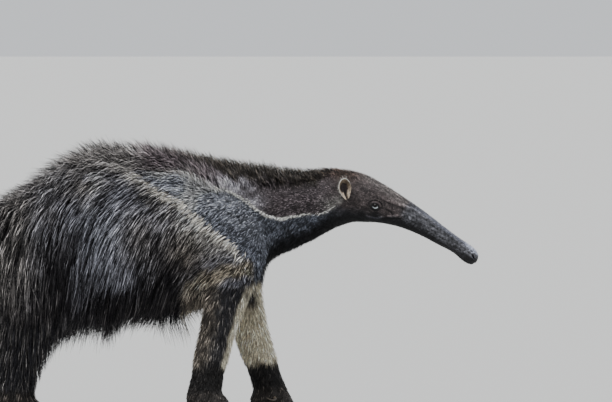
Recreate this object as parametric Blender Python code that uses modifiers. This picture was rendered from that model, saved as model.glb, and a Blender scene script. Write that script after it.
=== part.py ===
"""Giant anteater, walking, as a still life-size model.

The animal faces +X, its right side is at -Y and the floor is z = 0. The solids reach out to the tips of the
coat. One body is modelled whole: a loft along the spine, four legs and four paws are fused, smoothed and
thinned out. Thin cuts part it into neck, trunk, tail, legs and feet. The head, with its finer surface, and
the eyes, ears and claws are solids of their own that meet it.
"""

import math
from dataclasses import dataclass

import bmesh
import bpy
import numpy as np
from mathutils import Matrix, Vector

COLLECTION = "giant_anteater"
HELPERS = "cutters"

GAP = 0.0004  # clear space at every cut
FUSE_VOXEL = 0.0065  # grid of the fused body
FUSE_SMOOTH_STEPS = 9
BODY_TRIANGLES = 3000
SOLE_SPARE = 0.012  # how far the paws are modelled below the floor before their soles are cut flat

TAIL_TIP_X = -0.956
FORELEG_TOP_X = {"right": 0.452, "left": 0.460}
HINDLEG_TOP_X = {"right": 0.000, "left": -0.030}
ELBOW_Z = 0.300
WRIST_Z = 0.088
ANKLE_Z = 0.078
FORE_TRACK = 0.080  # half the distance between the forefeet
HIND_TRACK = 0.088  # half the distance between the hind feet
FORE_SWING = {"right": -0.262, "left": 0.300}  # forward lean of each foreleg, as a slope
HIND_ANKLE_X = {"right": 0.004, "left": -0.196}
SIDE_SIGN = {"right": -1.0, "left": 1.0}

EYE_CENTRE = (0.7416, 0.4564)
EYE_RADIUS = 0.0080
EYE_PROUD = 0.0022  # how far the eyeball stands out of the coat
NOSTRIL_CENTRE = (0.9485, 0.3505)
NOSTRIL_OUT = 0.0130
NOSTRIL_SIZE = (0.0028, 0.0045, 0.0052)
NOSTRIL_TURN = -30  # degrees about Y
MOUTH_CENTRE = (0.9385, 0.0, 0.3372)
MOUTH_SIZE = (0.0130, 0.0145, 0.0007)
MOUTH_TURN = 38  # degrees about Y
EAR_CENTRE = (0.6770, 0.4900)
EAR_HEIGHT = 0.0450
EAR_LENGTH = 0.0290
EAR_DEPTH = 0.0170
EAR_WALL = 0.0022
EAR_FLOOR = 0.0040  # thickness of the cup's floor over the head
EAR_RIM = 0.0125  # how far the rim stands out
EAR_HOLLOW = 0.0200
EAR_TURNS = {"X": -10, "Y": -13, "Z": -16}  # degrees; X and Z change sign from side to side
HIND_CLAW_RADIUS = 0.0042
SMOOTH_ANGLE = math.radians(50)

COAT_COLOUR = (0.075, 0.070, 0.072, 1.0)
FACE_COLOUR = (0.120, 0.100, 0.098, 1.0)
PALE_COLOUR = (0.560, 0.520, 0.440, 1.0)
EYE_COLOUR = (0.012, 0.009, 0.007, 1.0)
CLAW_COLOUR = (0.105, 0.090, 0.075, 1.0)


@dataclass(frozen=True)
class Section:
    """One cut across the spine, in a plane through its top and bottom points and parallel to Y."""

    top: tuple
    bottom: tuple
    half_width: float
    waist: float = 0.50  # height of the widest place, as a share of the depth
    round_top: float = 2.0  # 2 is an ellipse, less is a ridge, more is boxy
    round_bottom: float = 2.0

    def row(self):
        return [*self.top, *self.bottom, self.half_width, self.waist, self.round_top, self.round_bottom]


HEAD = (
    Section((0.9545, 0.3535), (0.9505, 0.3400), 0.0070),
    Section((0.9485, 0.3655), (0.9395, 0.3340), 0.0142),
    Section((0.9360, 0.3760), (0.9245, 0.3410), 0.0166),
    Section((0.9170, 0.3885), (0.9025, 0.3595), 0.0164),
    Section((0.8905, 0.4080), (0.8730, 0.3750), 0.0184),
    Section((0.8475, 0.4415), (0.8270, 0.3985), 0.0228),
    Section((0.8005, 0.4745), (0.7800, 0.4150), 0.0292, 0.48),
    Section((0.7615, 0.5000), (0.7410, 0.4210), 0.0380, 0.46),
    Section((0.7185, 0.5225), (0.7040, 0.4220), 0.0455, 0.48, 2.0, 2.2),
    Section((0.6795, 0.5325), (0.6735, 0.4140), 0.0505, 0.50, 2.0, 2.2),
)
TRUNK = (
    Section((0.6365, 0.5365), (0.6365, 0.3955), 0.0560, 0.50, 1.9, 2.2),
    Section((0.5915, 0.5350), (0.5900, 0.3690), 0.0670, 0.48, 1.8, 2.1),
    Section((0.5400, 0.5395), (0.5430, 0.3480), 0.0790, 0.46, 1.75, 2.0),
    Section((0.5010, 0.5450), (0.5120, 0.3220), 0.0930, 0.46, 1.75, 2.0),
    Section((0.4680, 0.5505), (0.4930, 0.2840), 0.1060, 0.48, 1.8, 2.1),
    Section((0.4170, 0.5590), (0.4370, 0.2620), 0.1210, 0.50, 1.8, 2.2),
    Section((0.3450, 0.5745), (0.3550, 0.2460), 0.1330, 0.48, 1.8, 2.3),
    Section((0.2630, 0.5890), (0.2630, 0.2240), 0.1430, 0.44, 1.8, 2.4),
    Section((0.1810, 0.5900), (0.1710, 0.2150), 0.1480, 0.42, 1.8, 2.4),
    Section((0.1060, 0.5650), (0.0890, 0.2090), 0.1480, 0.40, 1.8, 2.4),
    Section((0.0380, 0.5150), (0.0070, 0.2090), 0.1410, 0.40, 1.8, 2.4),
    Section((-0.0240, 0.4790), (-0.0540, 0.2150), 0.1270, 0.42, 1.8, 2.3),
    Section((-0.0850, 0.4530), (-0.1100, 0.2235), 0.1070, 0.48, 1.9, 2.1),
)
TAIL = (
    Section((-0.1510, 0.4250), (-0.1630, 0.2250), 0.0860, 0.56, 2.0, 1.8),
    Section((-0.2800, 0.4080), (-0.2850, 0.1700), 0.0720, 0.64, 2.0, 1.7),
    Section((-0.4200, 0.3890), (-0.4250, 0.1160), 0.0640, 0.68, 2.0, 1.7),
    Section((-0.5600, 0.3640), (-0.5700, 0.0820), 0.0580, 0.68, 2.0, 1.7),
    Section((-0.6900, 0.3290), (-0.7100, 0.0670), 0.0500, 0.66, 2.0, 1.7),
    Section((-0.8000, 0.2880), (-0.8300, 0.0690), 0.0400, 0.62, 2.0, 1.7),
    Section((-0.8800, 0.2450), (-0.9050, 0.0860), 0.0280, 0.56, 2.0, 1.8),
    Section((-0.9250, 0.2080), (-0.9380, 0.1100), 0.0160, 0.50, 2.0, 2.0),
    Section((TAIL_TIP_X, 0.1700), (TAIL_TIP_X, 0.1420), 0.0060),
)


@dataclass(frozen=True)
class LegSection:
    """One level cut across a leg. forward is measured from the leg's own leaning line."""

    height: float
    forward: float
    half_length: float
    out: float  # distance of the centre from the middle plane
    half_width: float

    def row(self):
        return [self.height, self.forward, self.half_length, self.out, self.half_width]


FORELEG = (
    LegSection(0.4700, -0.006, 0.040, 0.066, 0.020),
    LegSection(0.4350, -0.004, 0.066, 0.074, 0.036),
    LegSection(0.3850, 0.002, 0.074, 0.081, 0.046),
    LegSection(0.3350, 0.004, 0.065, 0.083, 0.048),
    LegSection(0.2850, -0.004, 0.051, 0.083, 0.043),
    LegSection(0.2300, -0.006, 0.041, 0.082, 0.038),
    LegSection(0.1700, -0.006, 0.037, 0.081, 0.036),
    LegSection(0.1200, -0.004, 0.036, 0.080, 0.035),
    LegSection(WRIST_Z, -0.002, 0.037, 0.080, 0.036),
    LegSection(0.0600, 0.000, 0.037, 0.080, 0.036),
)
HINDLEG = (
    LegSection(0.4200, -0.005, 0.050, 0.070, 0.030),
    LegSection(0.3750, 0.010, 0.100, 0.078, 0.052),
    LegSection(0.3150, 0.024, 0.116, 0.086, 0.062),
    LegSection(0.2550, 0.026, 0.104, 0.089, 0.062),
    LegSection(0.1950, 0.020, 0.080, 0.089, 0.056),
    LegSection(0.1350, 0.008, 0.058, 0.088, 0.048),
    LegSection(ANKLE_Z, 0.000, 0.042, 0.088, 0.041),
    LegSection(0.0500, 0.000, 0.042, 0.088, 0.041),
)
FORELEG_CUT = (
    LegSection(0.4400, -0.004, 0.024, 0.125, 0.030),
    LegSection(0.4250, -0.003, 0.056, 0.128, 0.056),
    LegSection(0.3900, 0.000, 0.080, 0.130, 0.078),
    LegSection(0.3400, 0.002, 0.086, 0.126, 0.094),
    LegSection(0.2900, 0.000, 0.082, 0.120, 0.104),
    LegSection(0.2200, 0.000, 0.078, 0.116, 0.106),
    LegSection(0.1200, 0.010, 0.106, 0.116, 0.106),
    LegSection(-0.0200, 0.018, 0.112, 0.116, 0.106),
)
HINDLEG_CUT = (
    LegSection(0.4200, 0.000, 0.040, 0.130, 0.030),
    LegSection(0.4000, 0.004, 0.086, 0.134, 0.058),
    LegSection(0.3550, 0.014, 0.118, 0.136, 0.082),
    LegSection(0.3000, 0.022, 0.130, 0.130, 0.100),
    LegSection(0.2400, 0.022, 0.126, 0.122, 0.108),
    LegSection(0.1800, 0.018, 0.122, 0.118, 0.108),
    LegSection(0.1000, 0.034, 0.116, 0.118, 0.108),
    LegSection(-0.0200, 0.034, 0.116, 0.118, 0.108),
)


@dataclass(frozen=True)
class PawSection:
    """One upright cut across a paw."""

    forward: float
    half_width: float
    height: float
    lift: float = -SOLE_SPARE  # height of the underside

    def row(self):
        return [self.forward, self.height, self.half_width, self.lift]


FIST = (
    PawSection(-0.0440, 0.014, 0.060, 0.030),
    PawSection(-0.0380, 0.026, 0.072, 0.010),
    PawSection(-0.0250, 0.034, 0.086, -0.006),
    PawSection(0.0000, 0.038, 0.092),
    PawSection(0.0260, 0.039, 0.080),
    PawSection(0.0430, 0.035, 0.060),
    PawSection(0.0520, 0.022, 0.040, 0.002),
)
HIND_PAW = (
    PawSection(-0.0460, 0.014, 0.044, 0.008),
    PawSection(-0.0360, 0.028, 0.060),
    PawSection(0.0000, 0.036, 0.078),
    PawSection(0.0400, 0.038, 0.062),
    PawSection(0.0800, 0.041, 0.044),
    PawSection(0.1020, 0.038, 0.034),
    PawSection(0.1120, 0.026, 0.024, 0.000),
)
# Toes: how far forward each ends, how far inward it lies, and the height of its middle.
FIST_TOES = ((0.056, 0.024, 0.016), (0.062, 0.004, 0.016), (0.058, -0.018, 0.014))
FIST_TOE_RADIUS = 0.0135
HIND_TOES = (
    (0.110, 0.031, 0.009),
    (0.121, 0.016, 0.009),
    (0.125, 0.000, 0.009),
    (0.122, -0.016, 0.009),
    (0.112, -0.031, 0.009),
)
HIND_TOE_RADIUS = 0.0115
PAW_ROUND_TOP = 2.2  # 2 is an ellipse, more is boxy
PAW_ROUND_SOLE = 4.5
PAW_ROUND_SIDES = 2.4


@dataclass(frozen=True)
class ForeClaw:
    """A claw of a forefoot: a bend from its root to its tip, drawn towards two pulls between them.

    Each place on it has three sizes, from where the fist stands.
    """

    radius: float
    forward: tuple
    inward: tuple
    height: tuple


FORE_CLAWS = (
    ForeClaw(0.0044, (0.0, 0.016, 0.010, -0.010), (0.022, 0.046, 0.060, 0.052), (0.062, 0.058, 0.048, 0.060)),
    ForeClaw(0.0072, (0.020, 0.052, 0.016, -0.024), (0.014, 0.052, 0.076, 0.052), (0.042, 0.036, 0.022, 0.05)),
    ForeClaw(0.0090, (0.032, 0.070, 0.014, -0.040), (0.010, 0.052, 0.084, 0.054), (0.022, 0.016, 0.0, 0.034)),
    ForeClaw(0.0050, (0.044, 0.078, 0.086, 0.066), (-0.02, -0.024, -0.002, 0.01), (0.02, 0.034, 0.018, 0.006)),
)
# A hind claw, from its toe's end: (forward, share of the toe's inward place, height).
HIND_CLAW = ((-0.010, 1.00, 0.0120), (0.008, 1.05, 0.0180), (0.018, 1.10, 0.0150), (0.024, 1.12, 0.0045))


def clear_scene():
    for obj in list(bpy.data.objects):
        bpy.data.objects.remove(obj)


def collection(name):
    made = bpy.data.collections.new(name)
    bpy.context.scene.collection.children.link(made)
    return made


def material(name, colour, roughness):
    made = bpy.data.materials.new(name)
    made.use_nodes = True
    shader = made.node_tree.nodes["Principled BSDF"]
    shader.inputs["Base Color"].default_value = colour
    shader.inputs["Roughness"].default_value = roughness
    shader.inputs["Metallic"].default_value = 0.0
    return made


def smooth_rows(rows, count):
    """count rows on a smooth curve through the given ones that never overshoots them (monotone cubic)."""
    rows = np.array(rows, float)
    steps = np.linalg.norm(np.diff(rows[:, :4], axis=0), axis=1)
    at = np.concatenate([[0.0], np.cumsum(steps)])
    slopes = np.diff(rows, axis=0) / steps[:, None]
    before, after = slopes[:-1], slopes[1:]
    w1 = (2 * steps[1:] + steps[:-1])[:, None]
    w2 = (steps[1:] + 2 * steps[:-1])[:, None]
    same_way = before * after > 0
    safe_before = np.where(same_way, before, 1.0)
    safe_after = np.where(same_way, after, 1.0)
    inner = np.where(same_way, (w1 + w2) / (w1 / safe_before + w2 / safe_after), 0.0)
    tangents = np.vstack([slopes[:1], inner, slopes[-1:]])
    wanted = np.linspace(0.0, at[-1], count)
    span = np.clip(np.searchsorted(at, wanted, side="right") - 1, 0, len(steps) - 1)
    length = steps[span][:, None]
    t = ((wanted - at[span])[:, None]) / length
    t2, t3 = t * t, t * t * t
    return (
        (2 * t3 - 3 * t2 + 1) * rows[span]
        + (t3 - 2 * t2 + t) * length * tangents[span]
        + (3 * t2 - 2 * t3) * rows[span + 1]
        + (t3 - t2) * length * tangents[span + 1]
    )


def powered(value, exponent):
    return math.copysign(abs(value) ** (2.0 / exponent), value)


def spine_ring(row, sides):
    """The points of one section across the spine, from the top round by the left side."""
    top, bottom = Vector((row[0], 0.0, row[1])), Vector((row[2], 0.0, row[3]))
    half_width, waist, round_top, round_bottom = row[4:8]
    rise = top - bottom
    centre = bottom + rise * waist
    points = []
    for i in range(sides):
        angle = 2 * math.pi * i / sides
        upper = math.cos(angle) >= 0
        roundness = round_top if upper else round_bottom
        reach = (1 - waist) if upper else waist
        up = powered(math.cos(angle), roundness) * reach
        out = powered(math.sin(angle), roundness) * half_width
        points.append(centre + rise * up + Vector((0.0, out, 0.0)))
    return points


def leg_ring(row, sides, line_x, side, grow=0.0):
    """The points of one level section of a leg."""
    height, forward, half_length, out, half_width = row
    points = []
    for i in range(sides):
        angle = 2 * math.pi * i / sides
        x = line_x(height) + forward + (half_length + grow) * math.cos(angle)
        y = SIDE_SIGN[side] * (out + (half_width + grow) * math.sin(angle))
        points.append(Vector((x, y, height)))
    return points


def new_object(name, bm, where):
    """An object with the shape of bm, which is freed."""
    mesh = bpy.data.meshes.new(name)
    bm.to_mesh(mesh)
    bm.free()
    obj = bpy.data.objects.new(name, mesh)
    where.objects.link(obj)
    return obj


def loft(name, rings, where, triangles=False):
    """A closed solid through rings that all have the same number of points, with flat ends.

    With triangles, every side face is split the same way, so that a grown copy runs parallel to it.
    """
    bm = bmesh.new()
    rows = [[bm.verts.new(p) for p in ring] for ring in rings]
    for first, second in zip(rows, rows[1:]):
        for i in range(len(first)):
            j = (i + 1) % len(first)
            if triangles:
                bm.faces.new((first[i], first[j], second[j]))
                bm.faces.new((first[i], second[j], second[i]))
            else:
                bm.faces.new((first[i], first[j], second[j], second[i]))
    bm.faces.new(rows[0])
    bm.faces.new(rows[-1])
    bmesh.ops.recalc_face_normals(bm, faces=bm.faces)
    return new_object(name, bm, where)


def spine_loft(name, sections, rings, sides, where):
    rows = smooth_rows([s.row() for s in sections], rings)
    return loft(name, [spine_ring(row, sides) for row in rows], where)


def foreleg_line(side):
    """Forward place of a foreleg's middle at a height: plumb above the elbow and leaning below it."""
    return lambda height: FORELEG_TOP_X[side] + FORE_SWING[side] * max(0.0, ELBOW_Z - height)


def hindleg_line(side):
    """Forward place of a hind leg's middle at a height, leaning from the hip to the ankle."""
    hip_z = HINDLEG[1].height
    start, end = HINDLEG_TOP_X[side], HIND_ANKLE_X[side]

    def at(height):
        share = min(max((hip_z - height) / (hip_z - ANKLE_Z), 0.0), 1.0)
        return start + (end - start) * share

    return at


def fist_place(side):
    """Where the middle of a forefoot stands."""
    return foreleg_line(side)(WRIST_Z) + 0.004, SIDE_SIGN[side] * FORE_TRACK


def hind_paw_place(side):
    return hindleg_line(side)(ANKLE_Z), SIDE_SIGN[side] * HIND_TRACK


def leg_loft(name, sections, line_x, side, where, rings=18, sides=20, grow=0.0, triangles=False):
    rows = smooth_rows([s.row() for s in sections], rings)
    shapes = [leg_ring(row, sides, line_x, side, grow) for row in rows]
    if grow:
        shapes[0] = [p + Vector((0.0, 0.0, grow)) for p in shapes[0]]
    return loft(name, shapes, where, triangles)


def evaluated_copy(obj, name, where):
    """A new mesh object with obj's modifiers applied."""
    bpy.context.view_layer.update()
    graph = bpy.context.evaluated_depsgraph_get()
    mesh = bpy.data.meshes.new_from_object(obj.evaluated_get(graph))
    made = bpy.data.objects.new(name, mesh)
    made.matrix_world = obj.matrix_world.copy()
    where.objects.link(made)
    return made


def boolean(obj, cutter, operation, solver="EXACT"):
    modifier = obj.modifiers.new(operation.lower(), "BOOLEAN")
    modifier.operation = operation
    modifier.solver = solver
    modifier.object = cutter


def as_helper(obj):
    obj.hide_render = True
    obj.display_type = "WIRE"


def drop_crumbs(bm):
    """Keeps only the largest body of a mesh, without what a trim leaves behind."""
    waiting, bodies = set(bm.faces), []
    while waiting:
        front = [waiting.pop()]
        body = set(front)
        while front:
            here = front.pop()
            reached = {face for edge in here.edges for face in edge.link_faces} - body
            body |= reached
            front += reached
        waiting -= body
        bodies.append(body)
    bodies.sort(key=len)
    bmesh.ops.delete(bm, geom=[face for body in bodies[:-1] for face in body], context="FACES")


def finished(obj, name, where, shade):
    """obj with its modifiers applied, as a node of the model."""
    made = evaluated_copy(obj, name, where)
    bm = bmesh.new()
    bm.from_mesh(made.data)
    bmesh.ops.remove_doubles(bm, verts=bm.verts, dist=0.00002)
    drop_crumbs(bm)
    bm.to_mesh(made.data)
    bm.free()
    made.data.materials.clear()
    made.data.materials.append(shade)
    made.data.shade_smooth()
    made.data.set_sharp_from_angle(angle=SMOOTH_ANGLE)
    as_helper(obj)
    return made


def halved(obj, name, point, normal, where):
    """The part of obj on the side of a plane that its normal points to, closed with a flat face."""
    bm = bmesh.new()
    bm.from_mesh(obj.data)
    geometry = bm.verts[:] + bm.edges[:] + bm.faces[:]
    cut = bmesh.ops.bisect_plane(
        bm, geom=geometry, plane_co=point, plane_no=normal, clear_inner=True, dist=0.00001
    )
    edges = [e for e in cut["geom_cut"] if isinstance(e, bmesh.types.BMEdge)]
    bmesh.ops.edgeloop_fill(bm, edges=edges)
    bmesh.ops.recalc_face_normals(bm, faces=bm.faces)
    return new_object(name, bm, where)


def split_at(obj, point, normal, where):
    """obj in two, with a gap at the plane: the piece ahead of the plane, then the one behind it."""
    point, normal = Vector(point), Vector(normal).normalized()
    ahead = halved(obj, obj.name + "_ahead", point + normal * GAP / 2, normal, where)
    behind = halved(obj, obj.name + "_behind", point - normal * GAP / 2, -normal, where)
    return ahead, behind


def neck_plane():
    """Point and forward normal of the cut between head and neck, midway between two sections."""
    before, after = HEAD[-1], TRUNK[0]
    top = (Vector(before.top) + Vector(after.top)) / 2
    bottom = (Vector(before.bottom) + Vector(after.bottom)) / 2
    rise = top - bottom
    return Vector((bottom.x, 0.0, bottom.y)), Vector((rise.y, 0.0, -rise.x))


def section_plane(section):
    """Point and forward normal of the plane of a section."""
    rise = Vector(section.top) - Vector(section.bottom)
    return Vector((section.bottom[0], 0.0, section.bottom[1])), Vector((rise.y, 0.0, -rise.x))


def paw_ring(row, x, y, sides=18):
    forward, height, half_width, lift = row
    middle, half_height = (height + lift) / 2, (height - lift) / 2
    points = []
    for i in range(sides):
        angle = 2 * math.pi * i / sides
        roundness = PAW_ROUND_TOP if math.cos(angle) >= 0 else PAW_ROUND_SOLE
        up = powered(math.cos(angle), roundness) * half_height
        out = powered(math.sin(angle), PAW_ROUND_SIDES) * half_width
        points.append(Vector((x + forward, y + out, middle + up)))
    return points


def paw_forms(side, helpers):
    """The rough forms of the two paws of one side: bodies and toes, reaching a little below the floor."""
    kinds = (
        (FIST, FIST_TOES, FIST_TOE_RADIUS, fist_place(side)),
        (HIND_PAW, HIND_TOES, HIND_TOE_RADIUS, hind_paw_place(side)),
    )
    forms = []
    for sections, toes, radius, (x, y) in kinds:
        rows = smooth_rows([section.row() for section in sections], 16)
        forms.append(loft("paw_form_" + side, [paw_ring(row, x, y) for row in rows], helpers))
        for forward, inward, height in toes:
            place = (x + forward - radius, y - SIDE_SIGN[side] * inward, height)
            toe = ellipsoid("toe_form_" + side, place, (radius * 1.6, radius, radius), helpers)
            forms.append(toe)
    return forms


def fused_body(helpers):
    """Spine, legs and paws fused into one smooth closed mesh that stands on flat soles."""
    parts = [spine_loft("spine", HEAD[4:] + TRUNK + TAIL, 130, 36, helpers)]
    for side in SIDE_SIGN:
        parts.append(leg_loft("foreleg_form", FORELEG, foreleg_line(side), side, helpers))
        parts.append(leg_loft("hindleg_form", HINDLEG, hindleg_line(side), side, helpers))
        parts += paw_forms(side, helpers)
    bpy.context.view_layer.update()
    bm = bmesh.new()
    for part in parts:
        placed = part.data.copy()
        placed.transform(part.matrix_world)
        bm.from_mesh(placed)
        as_helper(part)
    body = new_object("fused", bm, helpers)
    fuse = body.modifiers.new("fuse", "REMESH")
    fuse.mode = "VOXEL"
    fuse.voxel_size = FUSE_VOXEL
    relax = body.modifiers.new("relax", "SMOOTH")
    relax.factor = 0.5
    relax.iterations = FUSE_SMOOTH_STEPS
    fine = evaluated_copy(body, "fused_fine", helpers)
    thin = fine.modifiers.new("thin", "DECIMATE")
    thin.ratio = BODY_TRIANGLES / (2 * len(fine.data.polygons))
    coarse = evaluated_copy(fine, "fused_coarse", helpers)
    standing = halved(coarse, "standing", Vector((0, 0, 0)), Vector((0, 0, 1)), helpers)
    for used in (body, fine, coarse, standing):
        as_helper(used)
    return standing


def part_leg(body, leg_name, foot_name, sections, line_x, side, cut_z, helpers, where, shades):
    """Takes one leg off the body as a leg and a foot, and returns the body without them and the foot."""
    form = {"rings": 8, "sides": 14, "triangles": True}
    shape = leg_loft(leg_name + "_shape", sections, line_x, side, helpers, **form)
    room = leg_loft(leg_name + "_room", sections, line_x, side, helpers, grow=GAP, **form)
    leg = evaluated_copy(body, leg_name + "_whole", helpers)
    boolean(leg, shape, "INTERSECT", "MANIFOLD")
    whole = evaluated_copy(leg, leg_name + "_cut", helpers)
    upper, lower = split_at(whole, (0, 0, cut_z), (0, 0, 1), helpers)
    finished(upper, leg_name, where, shades[0])
    foot = finished(lower, foot_name, where, shades[1])
    rest = evaluated_copy(body, body.name + "_less", helpers)
    boolean(rest, room, "DIFFERENCE", "MANIFOLD")
    kept = evaluated_copy(rest, "body_less_" + leg_name, helpers)
    for used in (shape, room, leg, whole, rest, kept):
        as_helper(used)
    return kept, foot


def ellipsoid(name, centre, size, helpers, segments=16, rings=10):
    """A closed ellipsoid to cut or fuse with."""
    bm = bmesh.new()
    bmesh.ops.create_uvsphere(bm, u_segments=segments, v_segments=rings, radius=1.0)
    bmesh.ops.scale(bm, vec=Vector(size), verts=bm.verts)
    obj = new_object(name, bm, helpers)
    obj.location = centre
    as_helper(obj)
    return obj


def head_half_width(x, z):
    """Half the head's width at a place seen from the side."""
    rows = smooth_rows([s.row() for s in HEAD + TRUNK[:1]], 120)
    best = min(rows, key=lambda r: abs(closest_share(r, x, z)[1]))
    share = closest_share(best, x, z)[0]
    waist, upper = best[5], share >= best[5]
    reach = (1 - waist) if upper else waist
    roundness = best[6] if upper else best[7]
    level = min(abs(share - waist) / reach, 1.0)
    return best[4] * (1 - level**roundness) ** (1 / roundness)


def closest_share(row, x, z):
    """How far up a section a point lies, as a share of its depth, and how far off its plane it is."""
    top, bottom, point = Vector((row[0], row[1])), Vector((row[2], row[3])), Vector((x, z))
    rise = top - bottom
    away = point - bottom
    return away.dot(rise) / rise.length_squared, (away.x * rise.y - away.y * rise.x) / rise.length


def make_head(helpers, where, shade):
    """The head with its eye sockets, nostrils and the small slit of the mouth."""
    whole = spine_loft("head_whole", HEAD + TRUNK[:2], 40, 20, helpers)
    point, normal = neck_plane()
    head, behind = split_at(whole, point, normal, helpers)
    for unused in (whole, behind):
        as_helper(unused)
    for side, sign in SIDE_SIGN.items():
        socket = ellipsoid("socket_" + side, eye_place(sign), (EYE_RADIUS + GAP,) * 3, helpers, 12, 8)
        boolean(head, socket, "DIFFERENCE")
        nostril_at = (NOSTRIL_CENTRE[0], sign * NOSTRIL_OUT, NOSTRIL_CENTRE[1])
        nostril = ellipsoid("nostril_" + side, nostril_at, NOSTRIL_SIZE, helpers, 10, 8)
        nostril.rotation_euler = (0.0, math.radians(NOSTRIL_TURN), 0.0)
        boolean(head, nostril, "DIFFERENCE")
    mouth = ellipsoid("mouth", MOUTH_CENTRE, MOUTH_SIZE, helpers, 20, 8)
    mouth.rotation_euler = (0.0, math.radians(MOUTH_TURN), 0.0)
    boolean(head, mouth, "DIFFERENCE")
    bpy.context.view_layer.update()
    return finished(head, "head", where, shade)


def eye_place(sign):
    """Centre of an eyeball that stands a little proud of the head's side."""
    x, z = EYE_CENTRE
    return Vector((x, sign * (head_half_width(x, z) + EYE_PROUD - EYE_RADIUS), z))


def make_eyes(where, shade):
    """Eyeballs with their poles to the sides."""
    for side, sign in SIDE_SIGN.items():
        bm = bmesh.new()
        bmesh.ops.create_uvsphere(bm, u_segments=12, v_segments=8, radius=EYE_RADIUS)
        bmesh.ops.rotate(bm, verts=bm.verts, matrix=Matrix.Rotation(math.pi / 2, 3, "X"))
        eye = new_object("eye_" + side, bm, where)
        eye.location = eye_place(sign)
        eye.data.shade_smooth()
        eye.data.materials.append(shade)


def moved(obj, shift):
    """Shifts a piece's mesh, to leave the gap where it meets its neighbour."""
    obj.data.transform(Matrix.Translation(shift))


def ear_turn(sign):
    """How an ear is turned: its top back and inward, its opening a little forward."""
    about_z = Matrix.Rotation(sign * math.radians(EAR_TURNS["Z"]), 4, "Z")
    about_x = Matrix.Rotation(sign * math.radians(EAR_TURNS["X"]), 4, "X")
    return about_z @ about_x @ Matrix.Rotation(math.radians(EAR_TURNS["Y"]), 4, "Y")


def make_ears(head, helpers, where, shade):
    """Small oval cups, open to the side and a little forward, that end where they meet the head."""
    x, z = EAR_CENTRE
    for side, sign in SIDE_SIGN.items():
        turn = ear_turn(sign)
        middle = Vector((x, sign * (head_half_width(x, z) - 0.001), z))
        size = (EAR_LENGTH / 2, EAR_DEPTH, EAR_HEIGHT / 2)
        hollow_size = (size[0] - EAR_WALL, EAR_HOLLOW, size[2] - EAR_WALL)
        hollow_at = middle + turn @ Vector((0.001, sign * (EAR_FLOOR + EAR_HOLLOW), -0.001))
        opening_at = middle + turn @ Vector((0.004, sign * (EAR_RIM + EAR_HEIGHT), 0.0))
        ear = ellipsoid("ear_form_" + side, middle, size, helpers, 16, 10)
        hollow = ellipsoid("ear_hollow_" + side, hollow_at, hollow_size, helpers, 16, 10)
        opening = ellipsoid("ear_opening_" + side, opening_at, (EAR_HEIGHT,) * 3, helpers)
        for piece in (ear, hollow, opening):
            piece.rotation_euler = turn.to_euler()
        boolean(ear, hollow, "DIFFERENCE")
        boolean(ear, opening, "DIFFERENCE")
        boolean(ear, head, "DIFFERENCE", "MANIFOLD")
        made = finished(ear, "ear_" + side, where, shade)
        moved(made, turn.to_3x3().inverted() @ Vector((0.0, sign * GAP, 0.0)))


def claw(name, points, radius, paw, helpers, where, shade):
    """A tapering claw along the points, cut off where it meets the paw and drawn out of it by the gap."""
    curve = bpy.data.curves.new(name, "CURVE")
    curve.dimensions = "3D"
    curve.bevel_depth = radius
    curve.bevel_resolution = 1
    curve.use_fill_caps = True
    spline = curve.splines.new("POLY")
    spline.points.add(len(points) - 1)
    for i, (place, p) in enumerate(zip(points, spline.points)):
        share = i / (len(points) - 1)
        p.co = (*place, 1.0)
        p.radius = max(1.0 - share**1.8, 0.12)
    obj = bpy.data.objects.new(name + "_curve", curve)
    helpers.objects.link(obj)
    solid = evaluated_copy(obj, name + "_solid", helpers)
    bpy.data.objects.remove(obj)
    bm = bmesh.new()
    bm.from_mesh(solid.data)
    bmesh.ops.remove_doubles(bm, verts=bm.verts, dist=0.00002)
    bmesh.ops.recalc_face_normals(bm, faces=bm.faces)
    bm.to_mesh(solid.data)
    bm.free()
    boolean(solid, paw, "DIFFERENCE", "MANIFOLD")
    made = finished(solid, name, where, shade)
    moved(made, (points[2] - points[0]).normalized() * GAP)


def bent(start, pull_1, pull_2, end, count=7):
    """Points on a smooth bend from start to end, drawn towards the two pulls (a cubic Bezier)."""
    a, b, c, d = (Vector(p) for p in (start, pull_1, pull_2, end))
    points = []
    for i in range(count):
        t = i / (count - 1)
        u = 1 - t
        points.append(a * u**3 + b * (3 * u * u * t) + c * (3 * u * t * t) + d * t**3)
    return points


def make_fore_claws(side, paw, helpers, where, shade):
    """Four claws that fold in and back beside the fist."""
    x, y = fist_place(side)
    for i, kind in enumerate(FORE_CLAWS):
        at_y = [y - SIDE_SIGN[side] * inward for inward in kind.inward]
        path = [(x + forward, out, z) for forward, out, z in zip(kind.forward, at_y, kind.height)]
        claw(f"claw_fore_{side}_{i + 1}", bent(*path), kind.radius, paw, helpers, where, shade)


def make_hind_claws(side, paw, helpers, where, shade):
    """Five short claws that curve down ahead of the toes."""
    x, y = hind_paw_place(side)
    for i, (toe_end, inward, _) in enumerate(HIND_TOES):
        at_y = [y - SIDE_SIGN[side] * inward * share for _, share, _ in HIND_CLAW]
        path = [(x + toe_end + forward, out, z) for (forward, _, z), out in zip(HIND_CLAW, at_y)]
        name = f"claw_hind_{side}_{i + 1}"
        claw(name, bent(*path, count=5), HIND_CLAW_RADIUS, paw, helpers, where, shade)


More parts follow.
